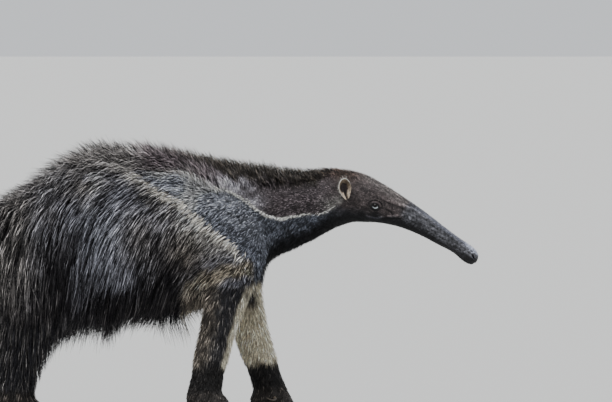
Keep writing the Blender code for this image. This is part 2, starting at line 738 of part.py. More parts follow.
def main():
    clear_scene()
    model, helpers = collection(COLLECTION), collection(HELPERS)
    coat = material("coat", COAT_COLOUR, 0.85)
    face = material("face", FACE_COLOUR, 0.80)
    pale = material("pale_coat", PALE_COLOUR, 0.85)
    eye = material("eye", EYE_COLOUR, 0.08)
    horn = material("claw", CLAW_COLOUR, 0.45)

    body = fused_body(helpers)
    for side in SIDE_SIGN:
        fore = ("foreleg_" + side, "forefoot_" + side, FORELEG_CUT, foreleg_line(side), side, WRIST_Z)
        body, paw = part_leg(body, *fore, helpers, model, (pale, coat))
        make_fore_claws(side, paw, helpers, model, horn)
        hind = ("hindleg_" + side, "hindfoot_" + side, HINDLEG_CUT, hindleg_line(side), side, ANKLE_Z)
        body, paw = part_leg(body, *hind, helpers, model, (coat, coat))
        make_hind_claws(side, paw, helpers, model, horn)
    ahead, rear = split_at(body, *section_plane(TRUNK[2]), helpers)
    as_helper(ahead)
    head_part, neck = split_at(ahead, *neck_plane(), helpers)
    trunk, tail = split_at(rear, *section_plane(TAIL[0]), helpers)
    for unused in (rear, head_part):
        as_helper(unused)
    finished(neck, "neck", model, coat)
    finished(trunk, "trunk", model, coat)
    finished(tail, "tail", model, coat)

    head = make_head(helpers, model, face)
    make_eyes(model, eye)
    make_ears(head, helpers, model, face)


main()
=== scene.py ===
"""Giant anteater: skin, coat, eyes, claws, floor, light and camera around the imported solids.

The animal faces +X, its right side is at -Y and the floor is z = 0. The skin lies inside the solids by the
coat's depth, and the coat is closed tufts that grow from the skin out to the solids' surface. Skin and coat
take their colours from the same markings.
"""

import logging
import math

from collections.abc import Callable, Iterator, Sequence
from contextlib import contextmanager
from dataclasses import dataclass
from enum import Enum

import bpy
import numpy as np
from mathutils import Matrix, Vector
from mathutils.bvhtree import BVHTree


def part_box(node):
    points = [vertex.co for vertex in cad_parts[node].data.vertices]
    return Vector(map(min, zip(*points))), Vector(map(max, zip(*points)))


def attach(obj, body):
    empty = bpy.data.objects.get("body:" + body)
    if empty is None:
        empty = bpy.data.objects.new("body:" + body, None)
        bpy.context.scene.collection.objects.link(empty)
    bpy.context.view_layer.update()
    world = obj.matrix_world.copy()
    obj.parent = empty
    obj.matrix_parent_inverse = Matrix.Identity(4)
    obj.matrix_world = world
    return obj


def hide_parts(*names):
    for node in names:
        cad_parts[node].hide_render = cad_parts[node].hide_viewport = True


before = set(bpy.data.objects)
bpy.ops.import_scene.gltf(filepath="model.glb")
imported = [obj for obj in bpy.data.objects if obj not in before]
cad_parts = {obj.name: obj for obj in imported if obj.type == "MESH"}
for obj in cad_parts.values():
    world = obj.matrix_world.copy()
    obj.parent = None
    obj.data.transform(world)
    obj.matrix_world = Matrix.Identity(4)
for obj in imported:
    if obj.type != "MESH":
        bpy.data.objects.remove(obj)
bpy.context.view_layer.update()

LOG = logging.getLogger("anteater")
BODY = "root"
TONE = "tone"  # colour attribute of skin and coat
GLOSS = "gloss"  # float attribute: 0 where fur is dense, 1 where the skin is bare and moist
BAKE_MAP = "OFBake"
PATCH = 0.003  # size of a tuft's patch on its unwrap
MERGE_REACH = 0.00002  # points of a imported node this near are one

Array = np.ndarray
Socket = bpy.types.NodeSocket


class Side(Enum):
    """The two sides of the body, as the sign of Y."""

    RIGHT = -1.0
    LEFT = 1.0

    @property
    def word(self) -> str:
        """The side's word in the nodes' names."""
        return self.name.lower()

    def has(self, points: Array) -> Array:
        """Which places lie on this side."""
        return points[:, 1] * self.value > 0


class Growth(Enum):
    """How the hair of a piece of the coat finds its way."""

    SHORT = "bends over the skin by its own lift"
    LONG = "follows the skin and falls free where the skin turns away"
    CREST = "rises through the coat and shows only its tip"


SHORT, LONG, CREST = Growth


# ---------------------------------------------------------------------------------------------------------
# Small helpers


def smoothstep(low: float, high: float, x: Array) -> Array:
    """A soft step from 0 at low to 1 at high.

    Args:
        low: Where the step starts. It may be more than high, for a step down.
        high: Where it ends.
        x: The values.

    Returns:
        The step at each value.
    """
    t = np.clip((x - low) / (high - low), 0.0, 1.0)
    return t * t * (3.0 - 2.0 * t)


def bell(x: Array, middle: float, width: float) -> Array:
    """A soft hump: 1 at the middle and 0.37 one width away."""
    return np.exp(-(((x - middle) / width) ** 2))


def spot(x: Array, z: Array, middle: tuple, reach: tuple) -> Array:
    """A soft oval spot: 1 at its middle (x, z) and 0.37 at its reach along x or z."""
    return np.exp(-(((x - middle[0]) / reach[0]) ** 2) - ((z - middle[1]) / reach[1]) ** 2)


def unit(vectors: Array) -> Array:
    """The vectors at length 1, along the last axis."""
    return vectors / np.maximum(np.linalg.norm(vectors, axis=-1, keepdims=True), 1e-12)


def mixed(first: Array, second: Array, share: Array) -> Array:
    """Colours or rows blended from first to second by one share for each row."""
    return first + (second - first) * share[:, None]


def laid(colours: Array, tone: tuple, share: Array) -> Array:
    """Colours with one tone laid over them by a share for each place."""
    return mixed(colours, np.array(tone)[None], share)


def plain(tone: tuple, count: int) -> Array:
    """The same colour for a number of places."""
    return np.repeat(np.array(tone)[None], count, 0)


def wobble(points: Array, size: float, seed: int) -> Array:
    """A smooth random field.

    Args:
        points: Places, n by 3.
        size: Width of its swells, in metres.
        seed: Which field.

    Returns:
        One value for each place, mostly between -1 and 1.
    """
    rng = np.random.default_rng(seed)
    total = np.zeros(len(points))
    for _ in range(6):
        wave = unit(rng.normal(size=3)) * (2 * math.pi / size) * rng.uniform(0.6, 1.5)
        total += np.sin(points @ wave + rng.uniform(0, 2 * math.pi))
    return total / 2.6


def line_distance(x: Array, z: Array, line: tuple) -> tuple[Array, Array]:
    """How far places seen from the side are from a bent line.

    Args:
        x: Forward places.
        z: Heights.
        line: Corners of the line, as (x, z).

    Returns:
        The signed distances, positive on the left of the line's way, and how far along it the nearest place
        is, from 0 to 1.
    """
    corners = np.array(line, float)
    best = np.full(len(x), np.inf)
    signed, along = np.zeros(len(x)), np.zeros(len(x))
    lengths = np.linalg.norm(np.diff(corners, axis=0), axis=1)
    starts = np.concatenate([[0.0], np.cumsum(lengths)])
    for i, (a, b) in enumerate(zip(corners[:-1], corners[1:])):
        way = (b - a) / lengths[i]
        dx, dz = x - a[0], z - a[1]
        t = np.clip(dx * way[0] + dz * way[1], 0.0, lengths[i])
        off = np.hypot(dx - t * way[0], dz - t * way[1])
        nearer = off < best
        best = np.where(nearer, off, best)
        side = np.sign(way[0] * dz - way[1] * dx)
        signed = np.where(nearer, off * np.where(side == 0, 1.0, side), signed)
        along = np.where(nearer, (starts[i] + t) / starts[-1], along)
    return signed, along


def activate(obj: bpy.types.Object) -> None:
    """Makes obj the only selected and the active object."""
    bpy.ops.object.select_all(action="DESELECT")
    obj.select_set(True)
    bpy.context.view_layer.objects.active = obj


@contextmanager
def editing(mode: str, selected: bool) -> Iterator[None]:
    """Edit mode on the active object.

    Args:
        mode: What is selected: VERT, EDGE or FACE.
        selected: Whether everything or nothing is selected at first.
    """
    bpy.ops.object.mode_set(mode="EDIT")
    bpy.ops.mesh.select_mode(type=mode)
    bpy.ops.mesh.select_all(action="SELECT" if selected else "DESELECT")
    yield
    bpy.ops.object.mode_set(mode="OBJECT")


def primitive(add: Callable, name: str, **settings: object) -> bpy.types.Object:
    """A new primitive mesh whose object lies at the origin, unturned.

    Args:
        add: Blender's operator that adds it.
        name: Name of the object.
        **settings: Its sizes and place.

    Returns:
        The object, which is the active one.
    """
    bpy.ops.object.select_all(action="DESELECT")
    add(**settings)
    made = bpy.context.object
    made.name = name
    bpy.ops.object.transform_apply(location=True, rotation=True, scale=True)
    return made


def joined(objects: list[bpy.types.Object], name: str) -> bpy.types.Object:
    """Joins objects into one.

    Args:
        objects: The objects, which are used up.
        name: Name of the result.

    Returns:
        The joined object.
    """
    activate(objects[0])
    for obj in objects:
        obj.select_set(True)
    bpy.ops.object.join()
    made = bpy.context.view_layer.objects.active
    made.name = name
    return made


def modified(obj: bpy.types.Object, kind: str, **settings: object) -> None:
    """Adds a modifier with these settings and applies it."""
    activate(obj)
    modifier = obj.modifiers.new(kind.lower(), kind)
    for key, value in settings.items():
        setattr(modifier, key, value)
    bpy.ops.object.modifier_apply(modifier=modifier.name)


def smoothed(obj: bpy.types.Object, times: int) -> None:
    """Smooths a mesh that many times."""
    modified(obj, "SMOOTH", factor=0.5, iterations=times)


def remeshed(obj: bpy.types.Object, voxel: float) -> None:
    """Makes one closed mesh of a mesh's forms, in voxels of this size."""
    modified(obj, "REMESH", mode="VOXEL", voxel_size=voxel)


def copies(nodes: Sequence[str], name: str, swell: float = 0.0) -> bpy.types.Object:
    """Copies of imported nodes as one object, with doubles merged.

    Args:
        nodes: The nodes' names.
        name: Name of the copy.
        swell: How far each node's surface moves out, so that neighbours overlap.

    Returns:
        The copy.
    """
    made = []
    for node in nodes:
        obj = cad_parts[node].copy()
        obj.data = obj.data.copy()
        obj.parent = None
        for key in list(obj.keys()):
            del obj[key]
        bpy.context.scene.collection.objects.link(obj)
        obj.data.materials.clear()
        made.append(obj)
    whole = joined(made, name)
    with editing("VERT", True):
        bpy.ops.mesh.remove_doubles(threshold=MERGE_REACH)
        if swell:
            bpy.ops.transform.shrink_fatten(value=swell)
    return whole


def rows_of(items: bpy.types.bpy_prop_collection, key: str) -> Array:
    """A property of three numbers of each of a mesh's items, n by 3."""
    flat = np.empty(len(items) * 3, np.float32)
    items.foreach_get(key, flat)
    return flat.reshape(-1, 3).astype(float)


def points_of(obj: bpy.types.Object) -> Array:
    """The places of a mesh's vertices."""
    return rows_of(obj.data.vertices, "co")


def normals_of(obj: bpy.types.Object) -> Array:
    """The directions out of a mesh at its vertices."""
    return rows_of(obj.data.vertex_normals, "vector")


def face_centres(obj: bpy.types.Object) -> Array:
    """The middles of a mesh's faces."""
    return rows_of(obj.data.polygons, "center")


def placed_points(node: bpy.types.Object) -> Array:
    """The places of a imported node's vertices in the world."""
    world = node.matrix_world
    return points_of(node) @ np.array(world.to_3x3()).T + np.array(world.translation)


def place_points(obj: bpy.types.Object, points: Array) -> None:
    """Moves a mesh's vertices to these places."""
    obj.data.vertices.foreach_set("co", points.astype(np.float32).ravel())
    obj.data.update()


def select_faces(obj: bpy.types.Object, chosen: Array) -> None:
    """Selects these faces of a mesh, and nothing else of it, for edit mode.

    Args:
        obj: The mesh, in object mode.
        chosen: True for each face to select.
    """
    activate(obj)
    with editing("FACE", False):
        pass
    obj.data.polygons.foreach_set("select", chosen.astype(bool))
    bpy.ops.object.mode_set(mode="EDIT")


def give_colours(mesh: bpy.types.Mesh, colours: Array) -> None:
    """Stores one colour for each vertex in the attribute that the finishes read."""
    attribute = mesh.color_attributes.new(TONE, "FLOAT_COLOR", "POINT")
    rows = np.ones((len(colours), 4), np.float32)
    rows[:, :3] = np.clip(colours, 0.0, 1.0)
    attribute.data.foreach_set("color", rows.ravel())


def give_values(mesh: bpy.types.Mesh, name: str, values: Array) -> None:
    """Stores one number for each vertex in a named attribute."""
    attribute = mesh.attributes.new(name, "FLOAT", "POINT")
    attribute.data.foreach_set("value", values.astype(np.float32))


# ---------------------------------------------------------------------------------------------------------
# Finishes


class Graph:
    """A material's nodes, from the colours stored on the mesh to the shader."""

    def __init__(self, name: str) -> None:
        """Starts a node material.

        Args:
            name: Its name.
        """
        self.material = bpy.data.materials.new(name)
        self.material.use_nodes = True
        self.tree = self.material.node_tree

    def feed(self, node: bpy.types.Node, inputs: dict) -> None:
        """Sets each named input of a node to a value, or links another node's output to it."""
        for key, value in inputs.items():
            if isinstance(value, Socket):
                self.tree.links.new(value, node.inputs[key])
            else:
                node.inputs[key].default_value = value

    def node(self, kind: str, inputs: dict, output: str, **settings: object) -> Socket:
        """Adds a node.

        Args:
            kind: Its kind, without the words ShaderNode.
            inputs: Values and sockets for its inputs.
            output: Name of the output that is wanted.
            **settings: Its other properties.

        Returns:
            The output.
        """
        made = self.tree.nodes.new("ShaderNode" + kind)
        for key, value in settings.items():
            setattr(made, key, value)
        self.feed(made, inputs)
        return made.outputs[output]

    def tone(self) -> Socket:
        """The colour stored on the mesh."""
        return self.node("Attribute", {}, "Color", attribute_name=TONE)

    def noise(self, place: Socket, scale: float, detail: float, stretch: tuple, **settings: object) -> Socket:
        """Noise on stretched coordinates.

        Args:
            place: The coordinates.
            scale: Grains for each unit.
            detail: Octaves of finer noise.
            stretch: How many times finer it is along each axis.
            **settings: Other properties of the noise node.

        Returns:
            Its value.
        """
        mapped = self.node("Mapping", {"Vector": place, "Scale": stretch}, "Vector")
        return self.node("TexNoise", {"Vector": mapped, "Scale": scale, "Detail": detail}, "Fac", **settings)

    def grain(self, size: float, detail: float = 2.0, stretch: tuple = (1.0, 1.0, 1.0)) -> Socket:
        """Noise on object coordinates whose grains are about size metres wide."""
        return self.noise(self.node("TexCoord", {}, "Object"), 1.0 / size, detail, stretch)

    def spread(self, value: Socket, low: float, high: float, start: float = 0.0, end: float = 1.0) -> Socket:
        """Maps a value from start..end to low..high."""
        ends = {"From Min": start, "From Max": end, "To Min": low, "To Max": high}
        return self.node("MapRange", {**ends, "Value": value}, "Result")

    def tinted(self, colour: Socket, factor: Socket) -> Socket:
        """Multiplies a colour by a value."""
        return self.node("VectorMath", {0: colour, "Scale": factor}, "Vector", operation="SCALE")

    def blend(self, value: Socket, factor: float, added: Socket) -> Socket:
        """A value times a factor, plus another value."""
        return self.node("Math", {0: value, 1: factor, 2: added}, "Value", operation="MULTIPLY_ADD")

    def bump(self, height: Socket, strength: float, distance: float) -> Socket:
        """Directions out of a surface with a height on it."""
        return self.node("Bump", {"Height": height, "Strength": strength, "Distance": distance}, "Normal")

    def shaded(self, inputs: dict) -> bpy.types.Material:
        """The material, with these values and sockets on its shader."""
        self.feed(self.tree.nodes["Principled BSDF"], inputs)
        return self.material


@dataclass(frozen=True)
class HairFinish:
    """Coarse hair: the tuft's own colour in fine strands that run along it, with a soft shine."""

    name: str = "hair"
    roughness: float = 0.50
    specular: float = 0.25
    strands: tuple = (4.0, 0.8)  # across and along a tuft
    strand_contrast: tuple = (0.55, 1.45)
    bands: tuple = (0.9, 3.2)  # across and along a tuft
    band_contrast: tuple = (0.60, 1.40)
    noise_ends: tuple = (0.3, 0.7)  # what of the noise's range is used

    def make(self) -> bpy.types.Material:
        """The material."""
        graph = Graph(self.name)
        patch = graph.node("UVMap", {}, "UV", uv_map=BAKE_MAP)
        colour = graph.tone()
        layers = ((self.strands, self.strand_contrast), (self.bands, self.band_contrast))
        for (across, along), contrast in layers:
            noise = graph.noise(patch, 1.0, 1.0, (across / PATCH, along / PATCH, 1.0), noise_dimensions="2D")
            colour = graph.tinted(colour, graph.spread(noise, *contrast, *self.noise_ends))
        return graph.shaded(
            {"Base Color": colour, "Roughness": self.roughness, "Specular IOR Level": self.specular}
        )


@dataclass(frozen=True)
class SkinFinish:
    """Skin with short flat fur: fine grain and bump where it is furred, a moist sheen where it is bare."""

    name: str = "skin"
    grain_size: float = 0.0021
    grain_stretch: tuple = (0.7, 1.0, 1.3)
    grain: tuple = (0.40, 1.60)
    grain_ends: tuple = (0.32, 0.68)
    crease_size: float = 0.006
    crease_stretch: tuple = (0.6, 1.0, 1.8)
    crease_share: float = 0.5  # of the bump
    detail: float = 3.0
    bump_strength: float = 0.8
    bump_height: float = 0.0007
    furred_roughness: float = 0.72
    bare_roughness: float = 0.40
    specular: float = 0.25

    def make(self) -> bpy.types.Material:
        """The material."""
        graph = Graph(self.name)
        grain = graph.grain(self.grain_size, self.detail, self.grain_stretch)
        crease = graph.grain(self.crease_size, self.detail, self.crease_stretch)
        height = graph.blend(crease, self.crease_share, grain)
        gloss = graph.node("Attribute", {}, "Fac", attribute_name=GLOSS)
        return graph.shaded({
            "Base Color": graph.tinted(graph.tone(), graph.spread(grain, *self.grain, *self.grain_ends)),
            "Roughness": graph.spread(gloss, self.furred_roughness, self.bare_roughness),
            "Normal": graph.bump(height, self.bump_strength, self.bump_height),
            "Specular IOR Level": self.specular,
        })


@dataclass(frozen=True)
class EyeFinish:
    """A wet dark eye: the colours of pupil, iris and the painted glint under the iris come from its mesh."""

    name: str = "wet_eye"
    roughness: float = 0.05
    specular: float = 0.20
    streak_size: float = 0.0009
    streak_contrast: tuple = (0.75, 1.25)
    noise_ends: tuple = (0.3, 0.7)

    def make(self) -> bpy.types.Material:
        """The material."""
        graph = Graph(self.name)
        factor = graph.spread(graph.grain(self.streak_size), *self.streak_contrast, *self.noise_ends)
        colour = graph.tinted(graph.tone(), factor)
        return graph.shaded(
            {"Base Color": colour, "Roughness": self.roughness, "Specular IOR Level": self.specular}
        )


@dataclass(frozen=True)
class HornFinish:
    """Worn claw: dark horn with fine streaks and paler patches, its roughness and bump following the streaks.
    """

    name: str = "horn"
    dark: tuple = (0.030, 0.024, 0.019, 1.0)
    pale: tuple = (0.190, 0.150, 0.108, 1.0)
    ramp: tuple = (0.58, 0.92)  # where the dark ends and where the pale begins
    streak_size: float = 0.0016
    streak_detail: float = 3.0
    streak_stretch: tuple = (0.25, 1.0, 1.0)
    streak_share: float = 0.45
    cloud_size: float = 0.018
    roughness: tuple = (0.30, 0.55)
    noise_ends: tuple = (0.3, 0.7)
    bump_strength: float = 0.6
    bump_height: float = 0.0003

    def make(self) -> bpy.types.Material:
        """The material."""
        graph = Graph(self.name)
        streak = graph.grain(self.streak_size, self.streak_detail, self.streak_stretch)
        both = graph.blend(streak, self.streak_share, graph.grain(self.cloud_size))
        colour = graph.node("ValToRGB", {"Fac": both}, "Color")
        elements = colour.node.color_ramp.elements
        for element, position, tone in zip(elements, self.ramp, (self.dark, self.pale)):
            element.position, element.color = position, tone
        return graph.shaded({
            "Base Color": colour,
            "Roughness": graph.spread(streak, *self.roughness, *self.noise_ends),
            "Normal": graph.bump(streak, self.bump_strength, self.bump_height),
        })


@dataclass(frozen=True)
class FloorFinish:
    """Plain pale studio floor."""

    name: str = "studio_floor"
    colour: tuple = (0.47, 0.47, 0.46, 1.0)
    roughness: float = 0.9
    specular: float = 0.1

    def make(self) -> bpy.types.Material:
        """The material."""
        return Graph(self.name).shaded(
            {"Base Color": self.colour, "Roughness": self.roughness, "Specular IOR Level": self.specular}
        )


# ---------------------------------------------------------------------------------------------------------
# Places of the head that the skin, the ears and the eyes share


@dataclass(frozen=True)
class EyePlace:
    """Where an eye lies and how it is cut, in metres."""

    x: float = 0.7418
    z: float = 0.4562
    radius: float = 0.0077
    sink: float = 0.0011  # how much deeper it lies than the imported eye
    half_length: float = 0.0067  # of the opening between the lids
    half_height: float = 0.0054
    tilt: float = math.radians(-16.0)  # front corner low
    shell: float = 0.0011  # how far the lids stand off the eyeball
    rim: tuple = (0.0125, 0.0180)  # the ring of the head's side that the lids grow out of

    def centre(self, side: Side) -> Array:
        """The middle of the eyeball."""
        low, high = (np.array(corner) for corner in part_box("eye_" + side.name.lower()))
        middle = (low + high) / 2
        return np.array([self.x, middle[1] - side.value * self.sink, self.z])

    def local(self, points: Array, side: Side) -> tuple[Array, Array, Array]:
        """Places as seen from outside the eye.

        Args:
            points: Places, n by 3.
            side: Which eye.

        Returns:
            Forward and up along the opening, and outward.
        """
        away = points - self.centre(side)
        c, s = math.cos(self.tilt), math.sin(self.tilt)
        forward = away[:, 0] * c + away[:, 2] * s
        up = -away[:, 0] * s + away[:, 2] * c
        return forward, up, away[:, 1] * side.value

    def opening(self, forward: Array, up: Array) -> Array:
        """How far out places are from the eye's middle, 1 at the edge between the lids."""
        return np.hypot(forward / self.half_length, up / self.half_height)


@dataclass(frozen=True)
class EarPlace:
    """Where an ear lies and its sizes, in metres."""

    x: float = 0.6775
    z: float = 0.4905
    half_length: float = 0.0140
    half_height: float = 0.0225
    lean: float = math.radians(9.5)  # its top lies back
    open_forward: float = math.radians(16.0)
    narrowing: float = 0.30  # how much narrower it is at its foot
    rim_height: float = 0.0135  # of its rim over its middle

    def axes(self, side: Side) -> Array:
        """Forward, up and outward directions of the ear, as rows."""
        c, s = math.cos(self.lean), math.sin(self.lean)
        forward, up = np.array([c, 0.0, s]), np.array([-s, 0.0, c])
        outward = np.array([0.0, side.value, 0.0])
        c, s = math.cos(self.open_forward), math.sin(self.open_forward)
        return np.array([forward * c - outward * s, up, outward * c + forward * s])

    def centre(self, side: Side) -> Array:
        """The middle of the ear on the head's side."""
        low, high = (np.array(corner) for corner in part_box("ear_" + side.name.lower()))
        rim = low[1] if side is Side.RIGHT else high[1]
        return np.array([self.x, rim - side.value * self.rim_height, self.z])

    def local(self, points: Array, side: Side) -> tuple[Array, Array, Array]:
        """Places in the ear's own frame.

        Args:
            points: Places, n by 3.
            side: Which ear.

        Returns:
            Forward and up as shares of the ear's outline, and outward in metres.
        """
        own = (points - self.centre(side)) @ self.axes(side).T
        v = own[:, 1] / self.half_height
        u = own[:, 0] / (self.half_length * self.width_share(v))
        return u, v, own[:, 2]

    def width_share(self, v: Array) -> Array:
        """How wide the ear is at a height, as a share of its widest."""
        return 1.0 - self.narrowing * smoothstep(0.25, -1.0, v)


EYE = EyePlace()
EAR = EarPlace()
NOSTRIL = (0.9432, 0.3508)  # its middle, as (x, z)
MOUTH = ((0.9070, 0.3590), (0.9180, 0.3492), (0.9290, 0.3418), (0.9400, 0.3376), (0.9500, 0.3372))


# ---------------------------------------------------------------------------------------------------------
# The coat's map: depth, lie, length and markings at each place of the body


@dataclass(frozen=True)
class LegLine:
    """The middle line of a pair of legs seen from the side: forward places at heights.

    The last three sizes say where the trunk's coat ends and where the leg's own begins.
    """

    heights: tuple
    right: tuple
    left: tuple
    half_length: tuple
    from_top: tuple  # heights
    from_ends: tuple  # off the middle line
    from_inside: tuple  # out from the body's middle

    def middle(self, points: Array) -> Array:
        """Forward place of the leg's middle beside each point."""
        right = np.interp(points[:, 2], self.heights, self.right)
        left = np.interp(points[:, 2], self.heights, self.left)
        return np.where(points[:, 1] < 0, right, left)

    def share(self, points: Array) -> Array:
        """How far forward in the leg each point lies, from -1 behind to 1 in front."""
        return (points[:, 0] - self.middle(points)) / np.interp(points[:, 2], self.heights, self.half_length)

    def belonging(self, points: Array) -> Array:
        """How much each place belongs to the leg, from 0 to 1."""
        x, y, z = points.T
        within = smoothstep(*self.from_top, z) * smoothstep(*self.from_ends, np.abs(x - self.middle(points)))
        return within * smoothstep(*self.from_inside, np.abs(y))


FORELEG = LegLine(
    (0.00, 0.09, 0.17, 0.23, 0.30, 0.36),
    (0.405, 0.400, 0.418, 0.433, 0.452, 0.452),
    (0.528, 0.522, 0.498, 0.481, 0.460, 0.460),
    (0.055, 0.037, 0.037, 0.041, 0.053, 0.070),
    (0.335, 0.255),
    (0.120, 0.080),
    (0.012, 0.030),
)
HINDLEG = LegLine(
    (0.00, 0.08, 0.15, 0.25, 0.36),
    (0.034, 0.004, 0.004, 0.020, 0.020),
    (-0.166, -0.196, -0.155, -0.080, -0.020),
    (0.085, 0.045, 0.065, 0.104, 0.110),
    (0.330, 0.240),
    (0.165, 0.125),
    (0.015, 0.035),
)
LEG_TOP = 0.2  # below this height all that is ahead of the belly's middle is foreleg
BELLY_X = 0.25
HINDMOST_X = -0.34  # of the hind legs
LOWEST = 0.0015  # that hair keeps over the floor and over the skin
ROOT_DEPTH = 0.0012  # of a tuft's foot under the skin
LEG_Y = 0.084  # how far out the legs stand

# Places along the spine, from the tail's root to the nose, for the tables below.
SPINE_X = (-0.16, -0.05, 0.05, 0.20, 0.35, 0.45, 0.54, 0.60, 0.66, 0.70, 0.80, 0.955)
DEPTH_SIDE = (0.034, 0.036, 0.034, 0.029, 0.020, 0.0105, 0.0080, 0.0068, 0.0046, 0.0034, 0.0020, 0.0008)
DEPTH_TOP = (0.037, 0.039, 0.040, 0.040, 0.034, 0.029, 0.025, 0.018, 0.0080, 0.0044, 0.0022, 0.0008)
DEPTH_BELLY = (0.055, 0.070, 0.080, 0.078, 0.050, 0.020, 0.0100, 0.0075, 0.0042, 0.0028, 0.0016, 0.0008)
LENGTH_SIDE = (0.120, 0.125, 0.110, 0.076, 0.042, 0.018, 0.0125, 0.0110, 0.0085, 0.0062, 0.0042, 0.0028)
LENGTH_TOP = (0.090, 0.085, 0.076, 0.066, 0.052, 0.042, 0.035, 0.026, 0.0125, 0.0082, 0.0050, 0.0030)
LENGTH_BELLY = (0.130, 0.130, 0.115, 0.095, 0.070, 0.030, 0.0170, 0.0130, 0.0090, 0.0065, 0.0044, 0.0028)
FORE_Z = (0.00, 0.015, 0.06, 0.10, 0.20, 0.30, 0.36)
FORE_DEPTH = (0.0004, 0.0012, 0.0024, 0.0044, 0.0070, 0.0095, 0.0120)
FORE_LENGTH = (0.0060, 0.0080, 0.0110, 0.0160, 0.0210, 0.0250, 0.0280)
HIND_Z = (0.00, 0.015, 0.05, 0.09, 0.16, 0.25, 0.36)
HIND_DEPTH = (0.0004, 0.0012, 0.0030, 0.0060, 0.0150, 0.0240, 0.0320)
HIND_LENGTH = (0.0065, 0.0090, 0.0140, 0.0240, 0.0460, 0.0800, 0.1100)
DEPTHS = (DEPTH_SIDE, DEPTH_TOP, DEPTH_BELLY, FORE_DEPTH, HIND_DEPTH)
LENGTHS = (LENGTH_SIDE, LENGTH_TOP, LENGTH_BELLY, FORE_LENGTH, HIND_LENGTH)
TAIL_X = (-0.96, -0.85, -0.70, -0.50, -0.30, -0.16)
TAIL_LENGTH = (0.110, 0.172, 0.205, 0.215, 0.185, 0.140)
TAIL_DEPTH = (0.016, 0.020, 0.026, 0.032, 0.036, 0.040)
TAIL_FLOOR_X = (-0.956, -0.938, -0.905, -0.83, -0.71, -0.57, -0.425, -0.285, -0.163)
TAIL_FLOOR_Z = (0.142, 0.112, 0.088, 0.071, 0.069, 0.084, 0.118, 0.172, 0.205)

# How far the mane reaches down the sides, and half its width over the back, at forward places.
MANE_X = (0.0, 0.30, 0.40, 0.46, 0.62, 0.66)
MANE_DEPTH = (0.010, 0.018, 0.024, 0.044, 0.032, 0.006)
MANE_WIDTH_X = (-0.05, 0.05, 0.20, 0.35, 0.55, 0.66)
MANE_WIDTH = (0.020, 0.030, 0.036, 0.034, 0.024, 0.014)
# Heights of the body's middle, of the back, and of the head's top and jaw, at forward places.
MIDDLE_X = (-0.85, -0.16, 0.10, 0.35, 0.60, 0.80, 0.955)
MIDDLE_Z = (0.20, 0.34, 0.40, 0.42, 0.46, 0.435, 0.345)
SPINE_TOP_X = (0.0, 0.11, 0.18, 0.263, 0.345, 0.417, 0.50, 0.59, 0.66)
SPINE_TOP_Z = (0.49, 0.565, 0.588, 0.587, 0.572, 0.557, 0.543, 0.534, 0.530)
HEAD_TOP_X = (0.64, 0.68, 0.71, 0.742, 0.773, 0.803, 0.834, 0.865, 0.896, 0.937, 0.955)
HEAD_TOP_Z = (0.533, 0.533, 0.525, 0.513, 0.492, 0.474, 0.451, 0.429, 0.402, 0.379, 0.360)
HEAD_JAW_Z = (0.404, 0.418, 0.425, 0.423, 0.419, 0.410, 0.398, 0.381, 0.365, 0.343, 0.338)

# Where the neck's and the head's sides turn into the dark underside.
LOW_EDGE_X = (0.48, 0.53, 0.60, 0.635, 0.66, 0.70, 0.75, 0.80, 0.84, 0.96)
LOW_EDGE_Z = (0.300, 0.346, 0.401, 0.428, 0.445, 0.440, 0.4325, 0.420, 0.405, 0.330)

# Lie of the coat seen from the side: place (x, z) and the way the hair runs.
LIE = (
    (0.937, 0.355, -0.80, 0.60),
    (0.875, 0.406, -0.85, 0.53),
    (0.803, 0.453, -0.85, 0.50),
    (0.748, 0.476, -0.93, 0.35),
    (0.742, 0.433, -0.97, 0.20),
    (0.680, 0.525, -1.00, 0.05),
    (0.680, 0.468, -0.97, 0.05),
    (0.649, 0.416, -0.97, -0.20),
    (0.608, 0.478, -0.92, -0.30),
    (0.588, 0.406, -0.85, -0.50),
    (0.547, 0.529, -0.85, 0.10),
    (0.465, 0.488, -0.85, -0.45),
    (0.495, 0.416, -0.70, -0.70),
    (0.510, 0.345, -0.40, -0.90),
    (0.382, 0.550, -0.90, 0.00),
    (0.362, 0.488, -0.80, -0.55),
    (0.413, 0.416, -0.62, -0.78),
    (0.475, 0.349, -0.70, -0.70),
    (0.434, 0.314, -0.90, -0.42),
    (0.382, 0.283, -0.70, -0.70),
    (0.454, 0.252, -0.35, -0.93),
    (0.280, 0.560, -0.90, -0.20),
    (0.177, 0.570, -0.80, -0.45),
    (0.095, 0.539, -0.25, -0.97),
    (0.280, 0.488, -0.65, -0.75),
    (0.198, 0.488, -0.70, -0.70),
    (0.136, 0.509, -0.36, -0.93),
    (0.054, 0.488, -0.08, -1.00),
    (-0.007, 0.447, 0.02, -1.00),
    (0.311, 0.386, -0.35, -0.93),
    (0.218, 0.386, -0.45, -0.90),
    (0.136, 0.386, -0.10, -0.99),
    (0.034, 0.345, 0.02, -1.00),
    (0.280, 0.262, -0.15, -0.98),
    (0.157, 0.242, -0.15, -0.98),
    (-0.007, 0.221, 0.00, -1.00),
    (-0.100, 0.400, -0.25, -0.97),
    (-0.120, 0.260, -0.10, -0.99),
)
LIE_REACH = 0.050
LIMB_LIE = (-0.12, -1.0)
TAIL_LIE = (-0.86, -0.50)

